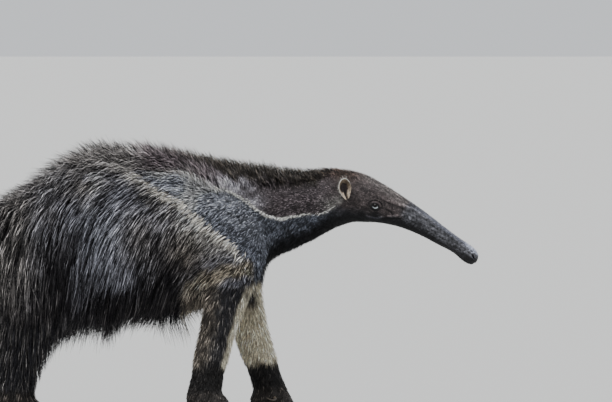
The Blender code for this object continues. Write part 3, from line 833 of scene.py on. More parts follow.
# The thin pale line from the ear over the neck to the back, and the fore edge of the broad pale band.
UPPER_LINE = (
    (0.672, 0.468), (0.666, 0.464), (0.655, 0.453), (0.633, 0.441), (0.600, 0.439), (0.577, 0.436),
    (0.549, 0.431), (0.522, 0.436), (0.495, 0.453), (0.477, 0.468), (0.444, 0.487), (0.430, 0.490),
    (0.413, 0.492), (0.382, 0.509), (0.358, 0.519), (0.319, 0.525), (0.278, 0.528),
)
PALE_EDGE = (
    (0.229, 0.537), (0.249, 0.525), (0.305, 0.492), (0.357, 0.461), (0.377, 0.439), (0.410, 0.410),
    (0.457, 0.375), (0.490, 0.336), (0.493, 0.320),
)
ARM_PALE = ((0.490, 0.332), (0.446, 0.326), (0.405, 0.310), (0.370, 0.290), (0.345, 0.268))


@dataclass(frozen=True)
class FaceLine:
    """A fold or streak on both sides of the head, seen from the side."""

    corners: tuple  # as (x, z)
    width: float
    rise: float  # how far it stands out of the skin
    # the tone is painted light on raised folds and painted shade in sunk creases
    tone: float  # how much lighter it is, or darker below 0

    def strength(self, points: Array) -> Array:
        """How much each place belongs to the line, from 0 to 1."""
        off, along = line_distance(points[:, 0], points[:, 2], self.corners)
        ends = smoothstep(0.0, 0.15, along) * smoothstep(1.0, 0.85, along)
        return bell(off, 0.0, self.width) * ends * smoothstep(0.006, 0.012, np.abs(points[:, 1]))


# Raised folds are painted lighter and sunk creases darker: painted light and painted shade.
FACE_LINES = (
    FaceLine(
        ((0.752, 0.4720), (0.7765, 0.4650), (0.795, 0.4580), (0.8103, 0.4540), (0.8278, 0.4451),
         (0.8452, 0.4328), (0.866, 0.4205)), 0.0022, 0.0010, 1.05,
    ),
    FaceLine(((0.760, 0.4650), (0.780, 0.4585), (0.800, 0.4505), (0.820, 0.4400)), 0.0026, -0.0008, -0.70),
    FaceLine(((0.759, 0.4530), (0.7664, 0.4477), (0.7744, 0.4430), (0.7795, 0.4310)), 0.0019, -0.0009, -0.85),
    FaceLine(((0.752, 0.4315), (0.7660, 0.4295), (0.7800, 0.4290), (0.8000, 0.4300)), 0.0017, -0.0010, -0.88),
    FaceLine(((0.7180, 0.4375), (0.7300, 0.4335), (0.7420, 0.4305), (0.7640, 0.4345)), 0.0020, 0.0010, 4.60),
    FaceLine(((0.7660, 0.4355), (0.7780, 0.4345), (0.7900, 0.4375)), 0.0022, 0.0006, 2.00),
    FaceLine(((0.7965, 0.4590), (0.7985, 0.4492), (0.7945, 0.4395)), 0.0018, -0.0007, -0.75),
    FaceLine(((0.7930, 0.4350), (0.8021, 0.4385), (0.8114, 0.4338), (0.8160, 0.4230)), 0.0016, 0.0007, 2.20),
    FaceLine(((0.7402, 0.4490), (0.7430, 0.4400)), 0.0026, -0.0003, -0.50),
    FaceLine(((0.7500, 0.4725), (0.7590, 0.4670), (0.7605, 0.4560)), 0.0020, -0.0006, -0.55),
)


@dataclass(frozen=True)
class ToneSpot:
    """A soft spot on both sides: painted sheen where the coat is lighter than round it, painted shade where
    darker.
    """

    x: float
    z: float
    half_length: float
    half_height: float
    gain: float

    def factor(self, points: Array) -> Array:
        """What the light hairs' tone is multiplied by at each place."""
        reach = (self.half_length, self.half_height)
        return 1 + self.gain * spot(points[:, 0], points[:, 2], (self.x, self.z), reach)


# Painted sheen on tops and edges that catch the light, and painted shade in the hollows and folds of the
# coat.
SHEEN_AND_SHADE_SPOTS = {
    "side of the hump": ToneSpot(0.174, 0.510, 0.016, 0.040, 1.60),
    "front of the rump": ToneSpot(0.080, 0.475, 0.034, 0.035, 0.45),
    "side behind the ribs": ToneSpot(0.200, 0.425, 0.018, 0.050, 0.50),
    "below the crest": ToneSpot(0.300, 0.530, 0.026, 0.018, 1.20),
    "top of the shoulder": ToneSpot(0.398, 0.505, 0.042, 0.022, 1.10),
    "behind the shoulder": ToneSpot(0.360, 0.438, 0.030, 0.028, 0.85),
    "top of the hump": ToneSpot(0.262, 0.562, 0.022, 0.015, 1.30),
    "foot of the crest": ToneSpot(0.421, 0.527, 0.013, 0.014, -0.50),
    "hollow behind the shoulder": ToneSpot(0.268, 0.372, 0.022, 0.020, -0.35),
    "end of the ribs": ToneSpot(0.200, 0.310, 0.024, 0.022, -0.38),
    "fore edge of the lilac": ToneSpot(0.449, 0.463, 0.018, 0.014, 0.45),
    "ribs": ToneSpot(0.240, 0.430, 0.030, 0.026, 0.45),
    "edge of the shoulder": ToneSpot(0.362, 0.470, 0.022, 0.018, 0.45),
    "front of the elbow": ToneSpot(0.484, 0.325, 0.016, 0.022, 0.90),
    "elbow": ToneSpot(0.380, 0.284, 0.026, 0.019, 1.90),
    "root of the tail": ToneSpot(-0.010, 0.390, 0.018, 0.070, 0.70),
    "fold of the thigh": ToneSpot(0.122, 0.310, 0.024, 0.038, -0.62),
    "hip": ToneSpot(0.052, 0.385, 0.022, 0.030, -0.20),
    "nape": ToneSpot(0.545, 0.518, 0.070, 0.022, -0.42),
    "fore edge of the shoulder": ToneSpot(0.420, 0.402, 0.016, 0.014, -0.30),
    "side of the neck": ToneSpot(0.590, 0.398, 0.020, 0.012, 0.50),
}


@dataclass(frozen=True)
class Fur:
    """The hair colours of a part of the coat: dark hairs, light hairs and how many are light."""

    dark: tuple
    light: tuple
    share: float

    def row(self) -> Array:
        """The colours and the share as seven numbers."""
        return np.array([*self.dark, *self.light, self.share])


class Markings:
    """The coat's colours at each place of the body."""

    # The bluish tint of the light hairs of flank, band and pale band is a painted reflection of the sky.
    flank = Fur((0.015, 0.014, 0.017), (0.360, 0.365, 0.425), 0.42)
    blue_flank = Fur((0.022, 0.023, 0.028), (0.350, 0.362, 0.412), 0.54)
    rump = Fur((0.013, 0.012, 0.013), (0.420, 0.390, 0.370), 0.28)
    brown = Fur((0.015, 0.012, 0.010), (0.360, 0.310, 0.255), 0.42)
    back = Fur((0.016, 0.015, 0.015), (0.480, 0.450, 0.430), 0.38)
    # dark belly fur, also laid as painted shade in the gaps between the limbs and the flank
    belly = Fur((0.006, 0.005, 0.007), (0.110, 0.100, 0.100), 0.14)
    neck = Fur((0.020, 0.016, 0.017), (0.300, 0.250, 0.265), 0.32)
    lilac = Fur((0.085, 0.082, 0.091), (0.720, 0.700, 0.765), 0.78)
    band = Fur((0.015, 0.016, 0.020), (0.265, 0.290, 0.360), 0.40)
    pale_band = Fur((0.029, 0.031, 0.037), (0.620, 0.645, 0.725), 0.60)
    throat = Fur((0.003, 0.003, 0.004), (0.018, 0.018, 0.021), 0.20)
    mane = Fur((0.009, 0.007, 0.006), (0.190, 0.160, 0.130), 0.18)
    crown = Fur((0.012, 0.007, 0.005), (0.240, 0.150, 0.112), 0.24)
    head = Fur((0.006, 0.005, 0.005), (0.240, 0.194, 0.192), 0.20)
    brow = Fur((0.030, 0.026, 0.026), (0.290, 0.255, 0.245), 0.42)
    snout = Fur((0.012, 0.012, 0.014), (0.155, 0.156, 0.174), 0.31)
    line = Fur((0.240, 0.225, 0.200), (0.950, 0.940, 0.880), 0.90)
    fringe = Fur((0.120, 0.108, 0.095), (0.900, 0.850, 0.760), 0.74)
    pale = Fur((0.030, 0.027, 0.024), (0.900, 0.850, 0.760), 0.66)
    arm = Fur((0.026, 0.022, 0.018), (0.560, 0.490, 0.380), 0.46)
    cream = Fur((0.620, 0.540, 0.400), (0.950, 0.875, 0.680), 0.92)
    leg = Fur((0.014, 0.014, 0.018), (0.150, 0.140, 0.135), 0.24)
    leg_back = Fur((0.030, 0.025, 0.022), (0.300, 0.260, 0.215), 0.42)
    leg_inner = Fur((0.620, 0.520, 0.370), (0.950, 0.860, 0.650), 0.92)
    foot = Fur((0.016, 0.014, 0.013), (0.140, 0.120, 0.105), 0.28)
    wrist = Fur((0.010, 0.009, 0.009), (0.050, 0.045, 0.042), 0.15)
    tail = Fur((0.020, 0.016, 0.014), (0.270, 0.220, 0.170), 0.34)
    ear_rim = (0.92, 0.89, 0.81)
    ear_hollow = (0.175, 0.138, 0.098)
    # painted shade deep in the ear's hollow
    ear_deep = (0.022, 0.012, 0.008)
    ear_lobe = (0.400, 0.325, 0.250)
    # painted shade in the ear's slit
    ear_slit = (0.006, 0.004, 0.004)
    ear_back = (0.110, 0.095, 0.090)
    eye_edge = (0.008, 0.007, 0.008)
    upper_lid = (0.120, 0.092, 0.092)
    # near black of the nostrils and the mouth's slit: painted shade in the sunk openings
    nostril = (0.004, 0.004, 0.005)
    # lighter bluish hair along the snout's top: a painted highlight
    ridge = Fur((0.026, 0.025, 0.031), (0.160, 0.163, 0.196), 0.48)
    sprinkle = Fur((0.016, 0.016, 0.015), (0.480, 0.475, 0.440), 0.34)
    # painted highlight on the skin along the snout's top
    nose = (0.150, 0.157, 0.200)
    # painted highlight on the top of the nose tip
    nose_top = (0.400, 0.425, 0.520)
    # near black under the nose tip: the dark lip with painted shade under the tip
    jaw = (0.004, 0.004, 0.005)

    def fur(self, points: Array, normals: Array) -> Array:
        """Hair colours at places of the skin.

        Args:
            points: Places, n by 3.
            normals: Directions out of the skin there.

        Returns:
            Seven numbers for each place: dark colour, light colour and share of light hairs.
        """
        x, y, z = points.T
        up = normals[:, 2]
        soft = wobble(points, 0.09, 11)
        fine = wobble(points, 0.030, 12)
        rows = np.repeat(self.flank.row()[None], len(points), 0)

        def lay(fur: Fur, share: Array) -> None:
            """Covers the rows with a fur by a share for each place."""
            rows[:] = mixed(rows, fur.row()[None], np.clip(share, 0.0, 1.0))

        # Painted sheen: a lighter bluish patch on the flank that stands in for the sky's reflection.
        flank_sheen_spot = spot(x, z, (0.190, 0.400), (0.070, 0.075))
        lay(self.blue_flank, flank_sheen_spot * (0.85 + 0.3 * fine))
        lay(self.brown, spot(x, z, (0.350, 0.360), (0.055, 0.055)) * 0.9)
        lay(self.brown, spot(x, z, (0.262, 0.395), (0.040, 0.060)) * 0.5)
        lay(self.rump, smoothstep(0.13, 0.02, x + 0.02 * soft))
        lay(self.back, smoothstep(0.49, 0.55, z + 0.008 * fine) * smoothstep(0.40, 0.30, x))
        lay(self.back, spot(x, z, (0.150, 0.498), (0.045, 0.035)) * (0.9 + 0.3 * fine))
        lay(self.belly, smoothstep(0.320, 0.245, z + 0.02 * soft) * smoothstep(-0.04, 0.02, x) * 0.8)
        # Painted shade: dark belly fur laid into the gaps behind the elbow and before the thigh, where shade
        # falls.
        shaded_gaps = ((0.318, 0.030, 0.400, 0.320), (0.092, 0.034, 0.475, 0.350))
        for middle, width, upper_z, full_z in shaded_gaps:
            off = np.abs(x - middle - 0.25 * (z - 0.33)) + 0.010 * fine
            lay(self.belly, smoothstep(width * 1.6, width * 0.5, off) * smoothstep(upper_z, full_z, z) * 0.85)
        lay(self.belly, smoothstep(-0.25, -0.7, up) * smoothstep(-0.12, -0.06, x))

        upper, upper_along = line_distance(x, z, UPPER_LINE)
        edge, edge_along = line_distance(x, z, PALE_EDGE)
        fore = smoothstep(-0.003, 0.003, edge + 0.003 * fine) * smoothstep(0.24, 0.29, x)
        lay(self.neck, fore)
        below_line = smoothstep(-0.002, 0.002, upper) * fore * smoothstep(0.225, 0.28, x)
        lay(self.band, below_line)
        fading = smoothstep(0.600, 0.410, x + 0.012 * soft + 0.20 * (0.45 - z))
        lay(self.pale_band, below_line * fading * 0.95)
        lay(self.band, below_line * smoothstep(0.470, 0.430, z) * smoothstep(0.045, 0.020, edge) * 0.6)
        patch = spot(x, z, (0.455, 0.492), (0.040, 0.021))
        patch = np.maximum(patch, 0.75 * spot(x, z, (0.492, 0.466), (0.024, 0.017)))
        lay(self.lilac, patch * (1 - below_line) * fore * (1.1 + 0.3 * fine))
        lay(self.back, fore * (1 - below_line) * smoothstep(0.40, 0.33, x) * smoothstep(0.54, 0.52, z))
        low_edge = np.interp(x, LOW_EDGE_X, LOW_EDGE_Z)
        dark_under = smoothstep(0.014, -0.010, z - low_edge + 0.004 * fine) * smoothstep(0.48, 0.53, x)
        lay(self.throat, dark_under * (0.8 - 0.35 * smoothstep(0.715, 0.75, x)))
        lay(self.throat, smoothstep(-0.35, -0.75, up) * smoothstep(0.46, 0.52, x))
        mane_depth = np.interp(x, MANE_X, MANE_DEPTH)
        spine_z = np.interp(x, SPINE_TOP_X, SPINE_TOP_Z)
        in_mane = smoothstep(1.3, 0.7, (spine_z - z) / mane_depth + 0.2 * fine) * smoothstep(0.25, 0.41, x)
        lay(self.mane, in_mane * smoothstep(0.71, 0.64, x))

        on_head = smoothstep(0.635, 0.690, x + 0.010 * soft)
        lay(self.head, on_head * (1 - dark_under))
        top_z = np.interp(x, HEAD_TOP_X, HEAD_TOP_Z)
        near_top = smoothstep(0.030, 0.008, top_z - z + 0.004 * fine)
        lay(self.brow, on_head * near_top * smoothstep(0.69, 0.73, x))
        crown = spot(x, z, (0.676, 0.527), (0.034, 0.020))
        lay(self.crown, crown)
        muzzle_line = np.interp(z, (0.40, 0.43, 0.46, 0.49), (0.786, 0.794, 0.806, 0.850))
        lay(self.snout, smoothstep(-0.010, 0.012, x - muzzle_line + 0.004 * fine))
        jaw_z = np.interp(x, HEAD_TOP_X, HEAD_JAW_Z)
        low_side = smoothstep(0.25, 0.10, (z - jaw_z) / (top_z - jaw_z) + 0.05 * fine)
        lay(self.throat, on_head * low_side * (0.80 - 0.30 * bell(x, 0.765, 0.045)))
        # Painted highlight along the upward-facing top of the snout.
        lay(self.ridge, smoothstep(0.55, 0.95, up + 0.05 * fine) * smoothstep(0.79, 0.86, x))
        # Near black hair under the nose tip: the dark lip with painted shade under the tip.
        lay(self.throat, smoothstep(0.915, 0.932, x) * smoothstep(0.3510, 0.3455, z + 0.25 * (x - 0.9415)))
        under_head = smoothstep(-0.15, -0.75, up) * on_head
        lay(self.throat, under_head)

        mottle = wobble(points * np.array([0.8, 1.0, 1.3]), 0.012, 13) + 0.8 * wobble(points, 0.006, 15)
        mottle = mottle * smoothstep(0.66, 0.70, x) * (0.30 + 0.22 * smoothstep(0.78, 0.82, x))
        rows[:, :6] *= (1 + np.clip(mottle, -0.7, 0.9))[:, None]
        for side in Side:
            forward, upward, _ = EYE.local(points, side)
            round_eye = EYE.opening(forward, upward)
            shade = 0.62 * np.exp(-((round_eye / 2.1) ** 4)) * side.has(points)
            rows[:, :6] *= (1 - shade)[:, None]
        near_head = np.nonzero(x > 0.69)[0]
        # Painted light along raised folds and painted shade in sunk creases of the head.
        for line in FACE_LINES:
            rows[near_head, :6] *= (1 + line.tone * line.strength(points[near_head]))[:, None]

        fade = smoothstep(0.86, 0.62, upper_along) * (0.50 + 0.50 * smoothstep(0.15, 0.30, upper_along))
        near_ear = spot(x, z, (0.655, 0.456), (0.024, 0.018)) * (0.75 + 0.3 * fine)
        lay(self.sprinkle, near_ear * (1 - dark_under) * smoothstep(0.008, 0.003, upper))
        width = np.interp(upper_along, (0.0, 0.16, 0.5, 1.0), (0.0040, 0.0030, 0.0022, 0.0045))
        off_line = upper + 0.0012 * wobble(points, 0.012, 14)
        fade = fade * (0.4 + 0.6 * smoothstep(0.10, 0.24, upper_along))
        lay(self.line, bell(off_line, 0.0, width) * (0.08 + 0.52 * fade) * smoothstep(0.264, 0.30, x))
        wide = np.interp(edge_along, (0.0, 0.3, 0.7, 1.0), (0.026, 0.062, 0.105, 0.115))
        behind = -edge
        front_edge = smoothstep(0.000, 0.005, behind + 0.002 * fine)
        band_share = front_edge * smoothstep(1.0, 0.14, behind / wide + 0.18 * fine)
        band_share = band_share * (0.62 + 0.38 * smoothstep(0.018, 0.004, behind))
        band_share = band_share * np.maximum(smoothstep(0.335, 0.385, z), smoothstep(0.016, 0.006, behind))
        band_share = band_share * smoothstep(0.200, 0.25, x)
        lay(self.pale, band_share * smoothstep(0.292, 0.312, z + 0.25 * (0.45 - x)))
        arm, arm_along = line_distance(x, z, ARM_PALE)
        arm_width = np.interp(arm_along, (0.0, 0.5, 1.0), (0.018, 0.024, 0.024))
        near_arm = smoothstep(1.2, 0.3, np.abs(arm) / arm_width + 0.2 * fine)
        lay(self.arm, near_arm * smoothstep(0.335, 0.365, x) * smoothstep(0.50, 0.485, x))

        forelimb = smoothstep(0.320, 0.286, z + 0.010 * fine) * smoothstep(0.34, 0.36, x)
        lay(self.leg, forelimb * (1 - smoothstep(0.29, 0.305, z + 0.09 * (0.45 - x))))
        ahead = FORELEG.share(points)
        back_edge = -0.25 * smoothstep(0.22, 0.27, z)
        behind_leg = smoothstep(0.0, -0.6, ahead - back_edge + 0.15 * fine)
        lay(self.leg_back, forelimb * behind_leg * smoothstep(0.31, 0.28, z))
        front = forelimb * smoothstep(0.42, 0.62, ahead + 0.05 * fine)
        lay(self.cream, front * smoothstep(0.120, 0.135, z) * smoothstep(0.306, 0.272, z + 0.010 * fine))
        inner = smoothstep(0.15, -0.45, normals[:, 1] * np.sign(y)) * smoothstep(0.26, 0.23, z)
        lay(self.leg_inner, forelimb * inner * smoothstep(0.120, 0.135, z) * smoothstep(0.75, 0.45, ahead))
        hindlimb = smoothstep(0.26, 0.20, z) * smoothstep(0.17, 0.13, x) * smoothstep(-0.33, -0.29, x)
        lay(self.leg, hindlimb * 0.8)
        lay(self.wrist, forelimb * smoothstep(0.138, 0.122, z + 0.006 * fine))
        lay(self.foot, smoothstep(0.092, 0.072, z + 0.006 * fine))
        lay(self.wrist, smoothstep(0.030, 0.012, z + 0.004 * fine) * 0.7)
        lay(self.tail, smoothstep(-0.05, -0.19, x + 0.02 * soft) * smoothstep(0.14, 0.20, z))
        # Painted sheen and painted shade of the coat, spot by spot.
        for mark in SHEEN_AND_SHADE_SPOTS.values():
            rows[:, 3:6] *= mark.factor(points)[:, None]
        rows[:, :6] = np.clip(rows[:, :6], 0.0, 0.95)
        rows[:, 6] *= 1.0 + 0.22 * fine + 0.18 * soft
        rows[:, 6] = np.clip(rows[:, 6], 0.02, 0.97)
        return rows

    def skin(self, points: Array, normals: Array) -> tuple[Array, Array]:
        """Colour and gloss of the skin itself.

        Args:
            points: Places, n by 3.
            normals: Directions out of the skin there.

        Returns:
            Colours, n by 3, and gloss from 0 to 1.
        """
        rows = self.fur(points, normals)
        blend = rows[:, :3] * (1 - rows[:, 6:7]) + rows[:, 3:6] * rows[:, 6:7]
        x, _, z = points.T
        depth = smoothstep(0.72, 0.60, x)  # deep fur shades the skin
        colours = blend * (0.85 - 0.45 * depth)[:, None]
        gloss = smoothstep(0.80, 0.93, x) * 0.75
        # Painted highlight on the upward-facing top of the snout.
        ridge = smoothstep(0.35, 0.85, normals[:, 2]) * smoothstep(0.80, 0.86, x)
        colours = laid(colours, self.nose, ridge * 0.75)
        # Painted highlight where the nose tip faces up and forward.
        facing = normals[:, 2] + 0.5 * normals[:, 0]
        tip_highlight = smoothstep(0.40, 0.90, facing) * smoothstep(0.920, 0.938, x)
        tip_highlight = tip_highlight * smoothstep(0.344, 0.351, z)
        colours = laid(colours, self.nose_top, tip_highlight * 0.8)
        # Near black under the nose tip: the dark lip with painted shade under the tip.
        tip = smoothstep(0.920, 0.934, x) * smoothstep(0.3500, 0.3450, z + 0.25 * (x - 0.9415))
        colours = laid(colours, self.jaw, tip * 0.95)
        mottle = wobble(points * np.array([0.8, 1.0, 1.3]), 0.0055, 21) * smoothstep(0.78, 0.82, x)
        colours = colours * (1 + 0.22 * mottle)[:, None]
        for side in Side:
            here = side.has(points)
            forward, upward, _ = EYE.local(points, side)
            e = EYE.opening(forward, upward)
            edge = smoothstep(np.where(upward < 0, 2.15, 1.75), 1.2, e) * here
            colours = laid(colours, self.eye_edge, edge)
            lid = bell(e, 1.62, 0.18) * smoothstep(0.0, 0.005, upward + 0.3 * forward) * here
            colours = laid(colours, self.upper_lid, lid * 0.7)
            # Painted shade in the crease above the upper lid.
            crease = bell(e, 2.15, 0.16) * smoothstep(-0.001, 0.003, upward) * here
            colours = laid(colours, self.eye_edge, crease * 0.85)
            duct = spot(forward, upward, (0.0125, -0.0008), (0.0055, 0.0022)) * here
            colours = laid(colours, self.eye_edge, duct * 0.85)
            gloss = np.where(here, np.maximum(gloss, 0.9 * smoothstep(1.7, 1.2, e)), gloss)
            # Painted shade in the sunk nostril.
            nostril = self.nostril_share(points) * here
            colours = laid(colours, self.nostril, smoothstep(0.15, 0.6, nostril))
            colours = self.ear_skin(points, normals, side, colours)
        # Painted shade in the slit of the mouth.
        mouth = self.mouth_share(points)
        colours = laid(colours, self.nostril, mouth * 0.9)
        return colours, gloss

    @staticmethod
    def nostril_share(points: Array) -> Array:
        """1 inside a nostril's comma, falling to 0 at its edge."""
        x, y, z = points.T
        dx, dz = x - NOSTRIL[0], z - NOSTRIL[1]
        c, s = math.cos(math.radians(68)), math.sin(math.radians(68))
        along, across = dx * c - dz * s, dx * s + dz * c
        across = across - 26.0 * along**2
        inside = 1.0 - np.hypot(along / 0.0064, across / 0.0024)
        return np.clip(inside * 1.6, 0.0, 1.0) * smoothstep(0.0040, 0.0070, np.abs(y))

    @staticmethod
    def mouth_share(points: Array) -> Array:
        """1 in the slit of the mouth, falling to 0 at its edge."""
        x, _, z = points.T
        off, along = line_distance(x, z, MOUTH)
        return bell(off, 0.0, 0.0009) * smoothstep(0.0, 0.15, along) * smoothstep(0.900, 0.908, x)

    def ear_skin(self, points: Array, normals: Array, side: Side, colours: Array) -> Array:
        """Colours with those of an ear laid over them.

        Args:
            points: Places, n by 3.
            normals: Directions out of the skin there.
            side: Which ear.
            colours: The colours before.

        Returns:
            The colours after.
        """
        u, v, w = EAR.local(points, side)
        near = (np.hypot(u, v) < 1.25) & (w > 0.0015) & side.has(points)
        s = np.hypot(u, v)
        facing = normals @ EAR.axes(side)[2]
        on_rim = smoothstep(0.945, 0.975, s)
        inner = np.where((s < 0.97) & (facing > -0.2), 1.0, 0.0)
        made = plain(self.ear_back, len(points))
        hollow = plain(self.ear_hollow, len(points))
        # Painted shade deep in the hollow of the ear.
        hollow_shade = bell(u, 0.28, 0.36) * smoothstep(0.85, 0.40, v) * smoothstep(-0.55, -0.10, v)
        hollow = laid(hollow, self.ear_deep, hollow_shade * 0.95)
        lobes = smoothstep(0.10, -0.35, v - 0.35 * np.abs(u)) * smoothstep(0.10, 0.30, np.abs(u - 0.14))
        hollow = laid(hollow, self.ear_lobe, lobes * np.where(u < 0.14, 1.0, 0.75))
        # Painted shade in the sunk slit of the ear.
        slit = bell(u, 0.14, 0.15) * smoothstep(0.45, 0.10, v)
        hollow = laid(hollow, self.ear_slit, np.clip(slit * 1.3, 0, 1))
        made = mixed(made, hollow, inner)
        # Pale rim hair, brighter along the top and front of the rim as painted light.
        rim_light = on_rim * (0.15 + 0.85 * smoothstep(-0.6, 0.5, v - 0.5 * u))
        rim_light = rim_light * smoothstep(0.0095, 0.0120, w)
        made = laid(made, self.ear_rim, rim_light)
        return np.where(near[:, None], made, colours)


class CoatMap:
    """Depth, lie and length of the coat at each place of the body."""

    def __init__(self) -> None:
        """Reads the anchors of the lie."""
        table = np.array(LIE)
        self.lie_places, self.lie_ways = table[:, :2], unit(table[:, 2:])

    @staticmethod
    def limb_shares(points: Array) -> tuple[Array, Array]:
        """How much each place belongs to a foreleg and to a hind leg.

        Args:
            points: Places, n by 3.

        Returns:
            Shares of foreleg and of hind leg, from 0 to 1.
        """
        x, _, z = points.T
        low, ahead = z < LEG_TOP, x > BELLY_X
        fore = np.where(low, np.where(ahead, 1.0, 0.0), FORELEG.belonging(points))
        hind = np.where(low & (x > HINDMOST_X), np.where(ahead, 0.0, 1.0), HINDLEG.belonging(points))
        return fore, hind

    def from_tables(self, points: Array, normals: Array, tables: tuple) -> Array:
        """Looks a size up along the spine and down the legs.

        Args:
            points: Places, n by 3.
            normals: Directions out of the body there.
            tables: Sizes along the spine on flanks, back and underside, and down the fore and hind legs.

        Returns:
            One size for each place.
        """
        x, _, z = points.T
        up = normals[:, 2]
        shares = (smoothstep(0.45, 0.92, up), smoothstep(-0.30, -0.85, up), *self.limb_shares(points))
        along = ((x, SPINE_X), (x, SPINE_X), (z, FORE_Z), (z, HIND_Z))
        size = np.interp(x, SPINE_X, tables[0])
        for share, (place, stations), table in zip(shares, along, tables[1:]):
            size = size + (np.interp(place, stations, table) - size) * share
        return size

    def tail_share(self, points: Array) -> Array:
        """How much each place belongs to the tail, rising gently behind the rump."""
        return smoothstep(-0.09, -0.22, points[:, 0]) * (1 - self.limb_shares(points)[1])

    def depth(self, points: Array, normals: Array) -> Array:
        """How deep the coat is."""
        return self.from_tables(points, normals, DEPTHS)

    def length(self, points: Array, normals: Array) -> Array:
        """How long the hair is."""
        own = self.from_tables(points, normals, LENGTHS)
        x, _, z = points.T
        up = normals[:, 2]
        own = own * (1 - np.interp(z, (0.34, 0.44, 0.54), (0.0, 0.18, 0.30)) * smoothstep(0.75, 0.35, up))
        on_neck = smoothstep(0.36, 0.46, x) * smoothstep(0.70, 0.64, x)
        own = own * (1 - 0.45 * on_neck * smoothstep(0.35, 0.60, up) * smoothstep(0.97, 0.75, up))
        elbow = spot(x, z, (0.350, 0.270), (0.036, 0.036))
        own = own * (1 + 0.75 * elbow)
        return own + (np.interp(x, TAIL_X, TAIL_LENGTH) - own) * self.tail_share(points)

    def lie(self, points: Array, normals: Array) -> Array:
        """The way the hair runs over the skin.

        Args:
            points: Places, n by 3.
            normals: Directions out of the skin there.

        Returns:
            Directions along the skin, n by 3.
        """
        flat = points[:, [0, 2]]
        way = np.zeros((len(points), 2))
        for place, direction in zip(self.lie_places, self.lie_ways):
            weight = np.exp(-np.sum((flat - place) ** 2, axis=1) / (2 * LIE_REACH**2)) + 1e-9
            way += weight[:, None] * direction
        way = unit(way)
        way = unit(laid(way, LIMB_LIE, np.maximum(*self.limb_shares(points))))
        tail = self.tail_share(points)
        way = unit(laid(way, TAIL_LIE, tail))
        outward = np.sign(points[:, 1]) * smoothstep(0.35, 0.95, normals[:, 2])
        outward = outward * smoothstep(0.0, 0.012, np.abs(points[:, 1]))
        spread = smoothstep(0.25, 0.08, points[:, 0]) * (0.75 - 0.35 * tail) + 0.12
        whole = np.stack([way[:, 0], outward * spread, way[:, 1]], axis=1)
        whole += 1e-4 * np.array([-1.0, 0.0, 0.0])
        whole -= normals * np.sum(whole * normals, axis=1, keepdims=True)
        return unit(whole)


# ---------------------------------------------------------------------------------------------------------
# Skin


@dataclass
class TailCore:
    """The tail's own flesh under its hair: (x, z, radius) from the rump to the tip."""

    stations: tuple = (
        (-0.060, 0.335, 0.058), (-0.160, 0.334, 0.046), (-0.280, 0.331, 0.040), (-0.420, 0.317, 0.034),
        (-0.560, 0.292, 0.027), (-0.680, 0.261, 0.020), (-0.780, 0.229, 0.013), (-0.840, 0.207, 0.007),
    )
    flatness: float = 0.68
    sides: int = 24
    first_length: float = 0.02

    def make(self) -> bpy.types.Object:
        """The core as a closed tube."""
        x, z, radius = self.stations[0]
        sizes = {"vertices": self.sides, "radius": radius, "depth": self.first_length}
        turn = (0.0, math.radians(90), 0.0)
        sizes |= {"location": (x, 0.0, z), "rotation": turn}
        core = primitive(bpy.ops.mesh.primitive_cylinder_add, "tail_core", **sizes)
        for before, after in zip(self.stations, self.stations[1:]):
            centres = face_centres(core)
            select_faces(core, centres[:, 0] <= centres[:, 0].min() + 1e-5)
            shift = (after[0] - before[0], 0.0, after[1] - before[1])
            bpy.ops.mesh.extrude_region_move(TRANSFORM_OT_translate={"value": shift})
            factor = after[2] / before[2]
            bpy.ops.transform.resize(value=(1.0, factor, factor), center_override=(after[0], 0.0, after[1]))
            bpy.ops.object.mode_set(mode="OBJECT")
        points = points_of(core)
        points[:, 1] *= self.flatness
        place_points(core, points)
        return core


